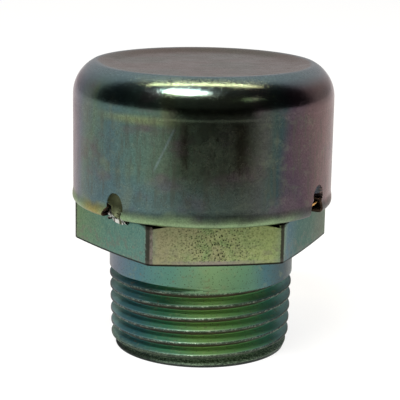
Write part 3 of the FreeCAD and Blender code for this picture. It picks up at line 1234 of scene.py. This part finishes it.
@dataclass
class CapSheet:
    """Drawn cap: round shoulder, dished top, crimped rim and four staked tongues."""

    columns: int = 240
    rim_hole: float = 17.0
    rim_base: float = RIM_BASE
    rim_bend: float = 0.65
    rim_land: float = 0.5
    flare_radius: float = 18.77
    flare_level: float = 1.1
    flare_top: float = 23.565
    flare_ease: float = 0.02
    flare_blend: float = 0.3
    wall_radius: float = WALL_RADIUS
    patch_top: float = 26.6
    patch_step: float = 0.5
    shoulder_base: float = 36.967
    shoulder_radius: float = 5.2
    shoulder_sweep: float = 61.0
    crest_radius: float = 1.1
    crest_end: float = 92.0
    dish_depth: float = 0.47
    dish_width: float = 3.4
    dish_steps: int = 8
    floor_radii: tuple[float, ...] = (9.0, 6.0, 3.0, 0.0)
    sheet: float = 0.62
    patch_cuts: int = 5

    def section(self) -> list[tuple[float, float]]:
        """Outer side of the sheet, from the rim's inner edge to the middle of the top.

        Returns:
            Radius and height of each point, in millimetres.
        """
        bend = (self.flare_radius - self.rim_bend, self.rim_base + self.rim_bend)
        points = [(self.rim_hole, self.rim_base),
                  (self.rim_hole + self.rim_land, self.rim_base), (bend[0], self.rim_base)]
        points += arc(bend, self.rim_bend, -90, 0, 6)
        points.append((self.flare_radius - self.flare_ease, self.rim_base + self.flare_level))
        points.append((self.wall_radius + self.flare_ease, self.flare_top - self.flare_blend))
        height = self.flare_top
        while height < self.patch_top:
            points.append((self.wall_radius, height))
            height += self.patch_step
        points.append((self.wall_radius, (self.patch_top + self.shoulder_base) / 2))
        points.append((self.wall_radius, self.shoulder_base))
        centre = (self.wall_radius - self.shoulder_radius, self.shoulder_base)
        points += arc(centre, self.shoulder_radius, 0, self.shoulder_sweep, 16)
        turn = math.radians(self.shoulder_sweep)
        inset = self.shoulder_radius - self.crest_radius
        crest = (centre[0] + inset * math.cos(turn), centre[1] + inset * math.sin(turn))
        points += arc(crest, self.crest_radius, self.shoulder_sweep, self.crest_end, 5)
        edge, top = points[-1]
        for step in range(1, self.dish_steps + 1):
            share = step / self.dish_steps
            sunk = self.dish_depth * ease(share, 0, 1)
            points.append((edge - self.dish_width * share, top - sunk))
        floor = points[-1][1]
        return points + [(radius, floor) for radius in self.floor_radii]

    def build(self) -> bpy.types.Object:
        """Model the cap and dress it.

        Returns:
            The piece.
        """
        mesh = bmesh.new()
        rings = [Ring(radius, height) for radius, height in self.section()]
        turn_skin(mesh, rings, self.columns)
        bmesh.ops.remove_doubles(mesh, verts=mesh.verts[:], dist=1e-6)
        bmesh.ops.recalc_face_normals(mesh, faces=mesh.faces[:])
        for stake in STAKES:
            stake.punch(mesh, self.patch_cuts)
        finishes = {
            CapFinish.PLATING: CapPlating(),
            CapFinish.CUT_EDGE: BareMetal("cut_edge", tint(84, 66, 54), tint(40, 34, 28), 0.45),
            CapFinish.PUNCHED: PunchedSkin(),
            CapFinish.TORN_STEEL: BareMetal(
                "torn_steel", tint(206, 208, 202), tint(72, 74, 66), 0.28),
            CapFinish.GOLDEN_BURR: BurrWithPaintedGlints(),
        }
        materials = [finishes[place].build() for place in CapFinish]
        piece = finish_piece(mesh, "cap_sheet", Node.CAP, materials, 40)
        shell = piece.modifiers.new("sheet", "SOLIDIFY")
        shell.thickness = self.sheet * MM
        shell.offset = -1
        shell.use_even_offset = False
        shell.material_offset_rim = CapFinish.CUT_EDGE - CapFinish.PLATING
        return piece


@dataclass
class PipeThread:
    """Right-hand 3/4-14 taper pipe thread, cut into the shank and run out at the neck."""

    pitch: float = 25.4 / 14
    end_radius: float = 13.015
    lean: float = THREAD_TAPER
    flank_angle: float = 30.0
    crest_flat: float = 0.24
    root_flat: float = 0.16
    crest_height: float = 9.19
    stop_height: float = THREAD_TOP
    stop_length: float = 0.3
    chamfer_radius: float = 12.415
    chamfer_height: float = 1.5
    fade_from: float = THREAD_TOP
    fade_to: float = 12.1
    fade_depth: float = 1.3
    top: float = 12.6
    crest_step: float = 0.04
    edge_step: float = 0.03
    columns: int = 180

    def blank(self, height: float) -> float:
        """Radius at the crests."""
        return self.end_radius + self.lean * min(height, self.stop_height)

    def depth_at(self, off: float) -> float:
        """Depth of the groove beside a crest.

        Args:
            off: Axial distance from the nearest crest's middle, in millimetres.

        Returns:
            The depth in millimetres.
        """
        slope = math.tan(math.radians(self.flank_angle))
        flank = max(abs(off) - self.crest_flat / 2, 0.0) / slope
        deepest = (self.pitch - self.crest_flat - self.root_flat) / 2 / slope
        return min(flank, deepest)

    def radius(self, angle: float, height: float) -> float:
        """Radius of the threaded shank.

        Args:
            angle: Angle about the axis, in radians.
            height: Height in mm.

        Returns:
            The radius in mm.
        """
        along = height - self.crest_height - self.pitch * angle / math.tau
        turn = along / self.pitch
        off = (turn - round(turn)) * self.pitch
        groove = height - off + (self.pitch / 2 if off > 0 else -self.pitch / 2)
        fade = ease(groove, self.fade_from, self.fade_to)
        depth = max(self.depth_at(off) - self.fade_depth * fade, 0.0)
        depth *= 1 - ease(height, self.stop_height - 0.05, self.stop_height + self.stop_length)
        cut = self.blank(height) - depth
        rise = max(height, 0.0) / self.chamfer_height
        chamfer = self.chamfer_radius + rise * (self.blank(self.chamfer_height) - self.chamfer_radius)
        return min(cut, chamfer) if height < self.chamfer_height else cut

    def phases(self) -> list[float]:
        """Axial places of the points of one pitch.

        Returns:
            The places in millimetres, from the lower root to the upper one.
        """
        crest, root = self.crest_flat / 2, (self.pitch - self.root_flat) / 2
        flank = [crest + (root - crest) * step / 4 for step in range(1, 4)]
        half = [crest - self.crest_step, crest + self.edge_step, *flank,
                root - self.edge_step, root + self.edge_step]
        return [-self.pitch / 2, *(-place for place in reversed(half)), 0.0, *half, self.pitch / 2]

    def build(self, mesh: BMesh) -> tuple[list[BMEdge], list[BMEdge]]:
        """Add the threaded skin as a helical band cut level at both ends.

        Args:
            mesh: The mesh that gets it.

        Returns:
            Its lower and upper boundary.
        """
        start = self.crest_height % self.pitch - 2 * self.pitch
        row = [mesh.verts.new(at_angle(self.end_radius, 0, start + phase))
               for phase in self.phases()]
        edges = [mesh.edges.new(pair) for pair in zip(row, row[1:])]
        bmesh.ops.spin(
            mesh, geom=row + edges, cent=(0, 0, 0), axis=(0, 0, 1), angle=math.tau,
            dvec=(0, 0, self.pitch * MM / self.columns), steps=self.columns, use_merge=False)
        turn = mesh.verts[:] + mesh.edges[:] + mesh.faces[:]
        for number in range(1, math.ceil(self.top / self.pitch) + 4):
            copied = bmesh.ops.duplicate(mesh, geom=turn)["geom"]
            raised = [item for item in copied if isinstance(item, BMVert)]
            bmesh.ops.translate(mesh, verts=raised, vec=(0, 0, self.pitch * number * MM))
        bmesh.ops.remove_doubles(mesh, verts=mesh.verts[:], dist=2e-6)
        for height, keeps_above in ((0.0, True), (self.top, False)):
            bmesh.ops.bisect_plane(
                mesh, geom=mesh.verts[:] + mesh.edges[:] + mesh.faces[:], dist=1e-7,
                plane_co=(0, 0, height * MM), plane_no=(0, 0, 1),
                clear_inner=keeps_above, clear_outer=not keeps_above)
        for point in mesh.verts:
            height = point.co.z / MM
            angle = angle_of(point.co)
            point.co = at_angle(self.radius(angle, height), angle, height)
        ends = ([], [])
        for edge in mesh.edges:
            if edge.is_boundary:
                upper = edge.verts[0].co.z > self.top * MM / 2
                ends[1 if upper else 0].append(edge)
        return ends


@dataclass
class VentBody:
    """Turned steel body: hexagon, neck, pipe thread and bore."""

    thread: PipeThread
    columns: int = 384
    across_flats: float = 32.0
    corner_round: float = 0.8
    hex_base: float = HEX_BASE
    hex_top: float = 22.06
    top_chamfer_radius: float = 15.9
    top_chamfer_angle: float = 22.0
    base_chamfer_radius: float = 16.0
    base_chamfer_angle: float = 5.0
    neck_radius: float = 13.374
    neck_fillet: float = 0.95
    neck_gap: float = 0.25
    bore_radius: float = 8.0
    bore_chamfer: float = 0.6
    seat_radius: float = 12.0
    bite_centre: float = 18.35
    bite_radius: float = 2.65
    bite_base: float = 21.45
    edge_round: float = 0.2
    gather: float = 0.7

    def hex_radius(self, angle: float, inset: float = 0.0) -> float:
        """Radius of the hexagon with its rounded corners.

        Args:
            angle: Angle about the axis, in radians.
            inset: How far the outline is drawn in.

        Returns:
            The radius in mm.
        """
        sector = math.radians(60)
        half = math.radians(30)
        off = abs((angle + half) % sector - half)
        flat = self.across_flats / 2 - inset
        round_from = math.atan((flat - self.corner_round) * math.tan(half) / flat)
        if off <= round_from:
            return flat / math.cos(off)
        centre = (flat - self.corner_round) / math.cos(half)
        beside = centre * math.sin(half - off)
        return centre * math.cos(half - off) + math.sqrt(self.corner_round ** 2 - beside ** 2)

    def bitten(self, angle: float, inset: float = 0.0) -> float:
        """Radius of the hexagon's upper edge, scalloped where the cap's tongues have bitten in.

        Args:
            angle: Angle about the axis, in radians.
            inset: How far the hexagon is drawn in.

        Returns:
            The radius in mm.
        """
        radius = self.hex_radius(angle, inset)
        for stake in STAKES:
            off = (angle - math.radians(stake.angle) + math.pi) % math.tau - math.pi
            beside = self.bite_centre * math.sin(off)
            if abs(off) < math.pi / 4 and abs(beside) < self.bite_radius:
                reach = self.bite_centre * math.cos(off)
                reach -= math.sqrt(self.bite_radius ** 2 - beside ** 2)
                radius = min(radius, reach)
        return radius

    def top_cone(self, radius: float) -> float:
        """Height of the upper chamfer at a radius."""
        over = max(radius - self.top_chamfer_radius, 0.0)
        return self.hex_top - over * math.tan(math.radians(self.top_chamfer_angle))

    def base_cone(self, radius: float) -> float:
        """Height of the lower chamfer at a radius."""
        over = max(radius - self.base_chamfer_radius, 0.0)
        return self.hex_base + over * math.tan(math.radians(self.base_chamfer_angle))

    def base_edge(self) -> list[Ring]:
        """Rings that carry the flats round onto the lower chamfer.

        Returns:
            The rings, upwards.
        """
        rings = []
        for step in range(4):
            turn = math.radians(90 - 30 * step)
            inset = self.edge_round * (1 - math.cos(turn))
            raised = self.edge_round * (1 - math.sin(turn))
            rings.append(Ring(
                lambda a, inset=inset: self.hex_radius(a, inset),
                lambda a, inset=inset, raised=raised: raised + self.base_cone(
                    self.hex_radius(a, inset)), self.gather))
        return rings

    def top_edge(self) -> list[Ring]:
        """Rings from the flats over the bitten upper edge onto the upper chamfer.

        Returns:
            The rings, upwards.
        """
        round_off = 0.08
        return [
            Ring(self.hex_radius, self.bite_base - 1.0, self.gather),
            Ring(self.hex_radius, self.bite_base, self.gather),
            Ring(self.bitten, self.bite_base + 0.04, self.gather),
            Ring(self.bitten, lambda a: self.top_cone(self.bitten(a)) - round_off, self.gather),
            Ring(lambda a: self.bitten(a, round_off),
                 lambda a: self.top_cone(self.bitten(a, round_off)), self.gather),
            Ring(lambda a: min(self.bitten(a), self.top_chamfer_radius) - 0.1, self.hex_top,
                 self.gather),
        ]

    def rings(self) -> list[Ring]:
        """Rings from the neck over the hexagon and down the bore to the end face.

        Returns:
            The rings, in order.
        """
        rings = [Ring(self.neck_radius, self.thread.top + self.neck_gap)]
        fillet_base = self.hex_base - self.neck_fillet
        rings.append(Ring(self.neck_radius, fillet_base))
        centre = (self.neck_radius + self.neck_fillet, fillet_base)
        rings += [Ring(*point) for point in arc(centre, self.neck_fillet, 180, 90, 6)]
        rings.append(Ring(self.base_chamfer_radius - 0.8, self.hex_base, self.gather))
        rings.append(Ring(lambda a: min(self.hex_radius(a), self.base_chamfer_radius) - 0.3,
                          self.hex_base, self.gather))
        rings += self.base_edge() + self.top_edge()
        rings.append(Ring(self.seat_radius, self.hex_top))
        rings.append(Ring(self.bore_radius, self.hex_top))
        for share in (0.66, 0.33):
            rings.append(Ring(self.bore_radius, self.hex_top * share))
        rings.append(Ring(self.bore_radius, self.bore_chamfer))
        rings.append(Ring(self.bore_radius + self.bore_chamfer, 0.0))
        rings.append(Ring(self.thread.chamfer_radius - 0.3, 0.0))
        return rings

    def build(self) -> bpy.types.Object:
        """Model the body and dress it.

        Returns:
            The piece.
        """
        mesh = bmesh.new()
        low, high = self.thread.build(mesh)
        band = set(mesh.edges)
        turn_skin(mesh, self.rings(), self.columns)
        start, end = [], []
        for edge in mesh.edges:
            if edge in band or not edge.is_boundary:
                continue
            (start if edge.verts[0].co.z > self.thread.top * MM / 2 else end).append(edge)
        bmesh.ops.bridge_loops(mesh, edges=high + start)
        bmesh.ops.bridge_loops(mesh, edges=low + end)
        bmesh.ops.recalc_face_normals(mesh, faces=mesh.faces[:])
        return finish_piece(
            mesh, "vent_body", Node.BODY, [BodyPlating().build()], 28)


def sweep_wire(mesh: BMesh, path: Callable[[float], Vector], radius: float, steps: int,
               sides: int) -> None:
    """Add a wire that follows a nearly level path.

    Args:
        mesh: The mesh that gets it.
        path: Point in mm at a share of the way, from 0 to 1.
        radius: Radius of the wire in mm.
        steps: Steps along it.
        sides: Flats round it.
    """
    grid = bmesh.ops.create_grid(mesh, x_segments=steps, y_segments=sides, size=0.5)["verts"]
    for point in grid:
        share, turn = point.co.x + 0.5, (point.co.y + 0.5) * math.tau
        here = path(share)
        along = path(share + 1e-4) - here
        beside = along.cross(Vector((0, 0, 1))).normalized()
        over = beside.cross(along).normalized()
        point.co = (here + (beside * math.cos(turn) + over * math.sin(turn)) * radius) * MM


def close_wires(mesh: BMesh) -> None:
    """Merge the wires' seams, close their ends and turn their faces outwards.

    Args:
        mesh: The mesh that holds the wires.
    """
    bmesh.ops.remove_doubles(mesh, verts=mesh.verts[:], dist=1e-6)
    bmesh.ops.holes_fill(mesh, edges=[edge for edge in mesh.edges if edge.is_boundary])
    bmesh.ops.recalc_face_normals(mesh, faces=mesh.faces[:])


@dataclass
class FilterScreen:
    """Woven brass gauze disc between the body and the pad."""

    radius: float = 15.4
    height: float = 22.31
    pitch: float = 1.1
    wire: float = 0.115
    sway: float = 0.12
    edge_gap: float = 0.3
    steps_per_pitch: int = 5
    sides: int = 5

    def build(self) -> bpy.types.Object:
        """Weave the gauze and dress it.

        Returns:
            The piece.
        """
        mesh = bmesh.new()
        reach = int((self.radius - self.edge_gap) / self.pitch)
        for number in range(-reach, reach + 1):
            beside = number * self.pitch
            half = math.sqrt(self.radius ** 2 - beside ** 2)
            steps = max(round(2 * half / self.pitch * self.steps_per_pitch), 4)
            for is_weft in (False, True):
                def path(share: float) -> Vector:
                    """Point of this wire, over and under those that cross it.

                    Args:
                        share: Share of the wire's length.

                    Returns:
                        The point in millimetres.
                    """
                    along = (2 * share - 1) * half
                    lift = self.sway * math.cos(math.pi * (along / self.pitch + number))
                    if is_weft:
                        return Vector((beside, along, self.height - lift))
                    return Vector((along, beside, self.height + lift))

                sweep_wire(mesh, path, self.wire, steps, self.sides)
        close_wires(mesh)
        brass = BareMetal("brass_gauze", tint(214, 186, 120), tint(150, 124, 70), 0.3)
        return finish_piece(
            mesh, "woven_screen", Node.SCREEN, [brass.build()], 60)


@dataclass
class FilterPad:
    """Knitted bronze wire packed round a core that fills the cap."""

    radius: float = 15.2
    core_radius: float = 14.8
    base: float = 22.56
    top: float = 39.99
    wire: float = 0.13
    rings: int = 34
    waves: int = 34
    steps: int = 272
    cover: float = 0.35
    course_turn: float = 2.4
    loop_swing: float = 0.16
    loop_rise: float = 0.33
    end_rings: int = 15
    first_ring: float = 0.9
    ring_gap: float = 1.0
    loops_per_mm: float = 2.2
    end_swing: float = 0.3
    end_rise: float = 0.12
    core_ring: float = 7.0
    lump: float = 0.012
    lump_per_mm: float = 0.6
    lumps_from: float = 10.0

    def core(self, mesh: BMesh) -> None:
        """Add the dense middle of the pad as a slightly lumpy turned skin.

        Args:
            mesh: The mesh that gets it.
        """
        low, high = self.base + self.cover, self.top - self.cover
        sides = [(self.core_radius, low + (high - low) * step / 10) for step in range(11)]
        points = [(0.0, low), (self.core_ring, low), *sides, (self.core_ring, high), (0.0, high)]
        made = turn_skin(mesh, [Ring(*point) for point in points], 96)
        for point in made:
            radius = math.hypot(point.co.x, point.co.y)
            if radius > self.lumps_from * MM:
                point.co.xy *= 1 + self.lump * noise.noise(point.co / MM * self.lump_per_mm)

    def build(self) -> bpy.types.Object:
        """Model the pad and dress it.

        Returns:
            The piece.
        """
        mesh = bmesh.new()
        self.core(mesh)
        span = self.top - self.base - 2 * self.wire - 2 * self.cover
        for number in range(self.rings):
            level = self.base + self.wire + self.cover + span * number / (self.rings - 1)
            phase = self.course_turn * number

            def path(share: float) -> Vector:
                """Point of this course of loops.

                Args:
                    share: Share of the round.

                Returns:
                    The point in millimetres.
                """
                turn = math.tau * share
                loop = self.waves * turn + phase
                radius = self.radius + self.loop_swing * math.sin(2 * loop)
                return at_angle(radius, turn, level + self.loop_rise * math.sin(loop)) / MM

            sweep_wire(mesh, path, self.wire, self.steps, 4)
        for number in range(self.end_rings * 2):
            is_top = number < self.end_rings
            level = self.top - self.cover if is_top else self.base + self.cover
            radius = self.ring_gap * (number % self.end_rings) + self.first_ring
            count = max(round(radius * self.loops_per_mm), 3)

            def path(share: float) -> Vector:
                """Point of this round of loops on the pad's end.

                Args:
                    share: Share of the round.

                Returns:
                    The point in millimetres.
                """
                turn = math.tau * share
                loop = count * turn
                return at_angle(radius + self.end_swing * math.sin(loop), turn,
                                level + self.end_rise * math.sin(2 * loop)) / MM

            sweep_wire(mesh, path, self.wire, count * 8, 4)
        close_wires(mesh)
        bronze = BareMetal("bronze_wire", tint(224, 182, 110), tint(160, 112, 58), 0.24)
        return finish_piece(mesh, "knitted_pad", Node.PAD, [bronze.build()], 60)


@dataclass
class Studio:
    """Camera, floor, soft light and the dark cards that the bright metal mirrors."""

    camera_turn: float = -7.23
    camera_rise: float = 13.298
    camera_roll: float = 1.008
    camera_distance: float = 209.6
    target_side: float = -0.265
    target_height: float = 21.28
    lens: float = 129.56
    room_level: float = 0.032
    sweep_level: float = 0.75
    fill_level: float = 0.62
    lamp_distance: float = 600.0
    floor_size: float = 6000.0
    card_fade: float = 42.0
    floor_gap: float = 0.02

    def direction(self, turn: float, rise: float) -> Vector:
        """Unit vector towards a bearing, seen from the object.

        Args:
            turn: Degrees from the camera's bearing, towards its right.
            rise: Degrees above the horizon.

        Returns:
            The vector.
        """
        around = math.radians(turn + self.camera_turn)
        up = math.radians(rise)
        level = math.cos(up)
        return Vector((math.sin(around) * level, -math.cos(around) * level, math.sin(up)))

    def target(self) -> Vector:
        """The point that the camera looks at.

        Returns:
            The point in metres.
        """
        around = math.radians(self.camera_turn)
        side = Vector((math.cos(around), math.sin(around), 0)) * self.target_side
        return (side + Vector((0, 0, self.target_height))) * MM

    def add_camera(self) -> None:
        """Camera at the photograph's place, with its small roll."""
        back = self.direction(0, self.camera_rise)
        right = Vector((0, 0, 1)).cross(back).normalized()
        up = back.cross(right)
        roll = math.radians(self.camera_roll)
        across = right * math.cos(roll) + up * math.sin(roll)
        upward = up * math.cos(roll) - right * math.sin(roll)
        data = bpy.data.cameras.new("camera")
        data.lens = self.lens
        data.sensor_width = 36.0
        data.clip_start = 0.01
        camera = bpy.data.objects.new("camera", data)
        turned = Matrix((across, upward, back)).transposed().to_4x4()
        place = self.target() + back * self.camera_distance * MM
        camera.matrix_world = Matrix.Translation(place) @ turned
        bpy.context.scene.collection.objects.link(camera)
        bpy.context.scene.camera = camera

    def add_lamp(self, name: str, turn: float, rise: float, size: tuple[float, float],
                 power: float, colour: Colour = (1, 1, 1)) -> None:
        """Soft oval lamp that faces the object.

        Args:
            name: Name of the lamp.
            turn: Bearing from the camera's, in degrees.
            rise: Degrees above the horizon.
            size: Width and height in mm.
            power: Power in watts.
            colour: Its linear colour.
        """
        data = bpy.data.lights.new(name, "AREA")
        data.color = colour
        data.shape = "ELLIPSE"
        data.size, data.size_y = size[0] * MM, size[1] * MM
        data.energy = power
        lamp = bpy.data.objects.new(name, data)
        toward = self.direction(turn, rise)
        lamp.location = self.target() + toward * self.lamp_distance * MM
        lamp.rotation_mode = "QUATERNION"
        lamp.rotation_quaternion = toward.to_track_quat("Z", "Y")
        bpy.context.scene.collection.objects.link(lamp)

    def add_card(self, name: str, turn: float, distance: float,
                 size: tuple[float, float]) -> None:
        """Dark upright card with soft sides that only reflections see.

        Args:
            name: Name of the card.
            turn: Bearing from the camera's, in degrees.
            distance: Distance from the axis in mm.
            size: Width and height in mm.
        """
        mesh = bmesh.new()
        bmesh.ops.create_grid(mesh, x_segments=1, y_segments=1, size=0.5)
        toward = self.direction(turn, 0)
        across = toward.cross(Vector((0, 0, 1)))
        for point in mesh.verts:
            side, rise = point.co.x * size[0], (point.co.y + 0.5) * size[1]
            point.co = (toward * distance + across * side + Vector((0, 0, rise))) * MM
        data = bpy.data.meshes.new(name)
        mesh.to_mesh(data)
        mesh.free()
        graph = Graph.of_finish("dark_card")
        side = graph.node("ShaderNodeVectorMath", {"operation": "DOT_PRODUCT"}, {
            0: graph.point(), 1: across}, result="Value") / MM
        solid = side.math("ABSOLUTE").step(size[0] / 2, size[0] / 2 - self.card_fade)
        black = graph.node("ShaderNodeBsdfDiffuse", None, {"Color": (0.012, 0.012, 0.011, 1)})
        clear = graph.node("ShaderNodeBsdfTransparent")
        data.materials.append(graph.end(
            graph.node("ShaderNodeMixShader", None, {0: solid, 1: clear, 2: black})))
        card = bpy.data.objects.new(name, data)
        card.visible_camera = False
        card.visible_diffuse = False
        card.visible_shadow = False
        card.visible_transmission = False
        bpy.context.scene.collection.objects.link(card)

    def add_floor(self) -> None:
        """Plain pale floor that keeps the object's shadow."""
        mesh = bmesh.new()
        bmesh.ops.create_grid(mesh, x_segments=2, y_segments=2, size=self.floor_size * MM / 2)
        bmesh.ops.translate(mesh, verts=mesh.verts[:], vec=(0, 0, -self.floor_gap * MM))
        data = bpy.data.meshes.new("floor")
        mesh.to_mesh(data)
        mesh.free()
        graph = Graph.of_finish("pale_floor")
        paper = graph.node("ShaderNodeBsdfDiffuse", None, {"Color": (0.86, 0.86, 0.86, 1)})
        path = graph.outputs("ShaderNodeLightPath")
        level = 0.93 + path["Is Camera Ray"] * 0.17
        white = graph.node("ShaderNodeEmission", None, {"Color": (1, 1, 1, 1), "Strength": level})
        seen = path["Is Camera Ray"].math("MAXIMUM", path["Is Glossy Ray"])
        seen = seen.math("MAXIMUM", path["Is Transmission Ray"])
        data.materials.append(graph.end(
            graph.node("ShaderNodeMixShader", None, {0: seen * 0.75, 1: paper, 2: white})))
        floor = bpy.data.objects.new("floor", data)
        bpy.context.scene.collection.objects.link(floor)

    def set_world(self) -> None:
        """White background; mirrored, a white sweep behind and a dim room above and in front."""
        world = bpy.data.worlds.new("studio")
        bpy.context.scene.world = world
        graph = Graph(world)
        way = graph.outputs("ShaderNodeSeparateXYZ", {
            0: graph.node("ShaderNodeTexCoord", result="Generated")})
        around = math.radians(self.camera_turn)
        behind = way["X"] * -math.sin(around) + way["Y"] * math.cos(around)
        level = (1 - way["Z"] * way["Z"]).math("MAXIMUM", 1e-4).math("SQRT")
        sweep = (behind / level).step(0.17, 0.5) * way["Z"].step(0.975, 0.93)
        glow = (behind / level).step(-0.5, -0.95) * way["Z"].near(0.3, 0.7) * 0.045
        room = self.room_level + (self.sweep_level - self.room_level) * sweep + glow
        path = graph.outputs("ShaderNodeLightPath")
        camera, glossy = path["Is Camera Ray"], path["Is Glossy Ray"]
        strength = self.fill_level * (1 - glossy) + room * glossy
        strength = strength * (1 - camera) + camera
        graph.end(graph.node("ShaderNodeBackground", None, {"Strength": strength}))

    def build(self) -> None:
        """Set the whole studio up."""
        self.add_camera()
        self.add_floor()
        self.set_world()
        self.add_lamp("key_lamp", turn=-22.5, rise=57, size=(320, 160), power=3.8)
        self.add_lamp("strip_lamp", turn=0, rise=86, size=(720, 17), power=1.6,
                      colour=(1.0, 0.8, 0.42))
        self.add_lamp("spot_lamp", turn=45, rise=34, size=(120, 34), power=0.07,
                      colour=(0.75, 1.0, 0.6))
        self.add_card("front_card", turn=9, distance=122, size=(218, 58))
        view = bpy.context.scene.view_settings
        view.view_transform = "Standard"


def main() -> None:
    """Build the vent and its studio."""
    logging.basicConfig(level=logging.INFO)
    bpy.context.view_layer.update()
    Studio().build()
    VentBody(PipeThread()).build()
    CapSheet().build()
    FilterPad().build()
    FilterScreen().build()
    bpy.context.view_layer.update()


if __name__ == "__main__":
    main()
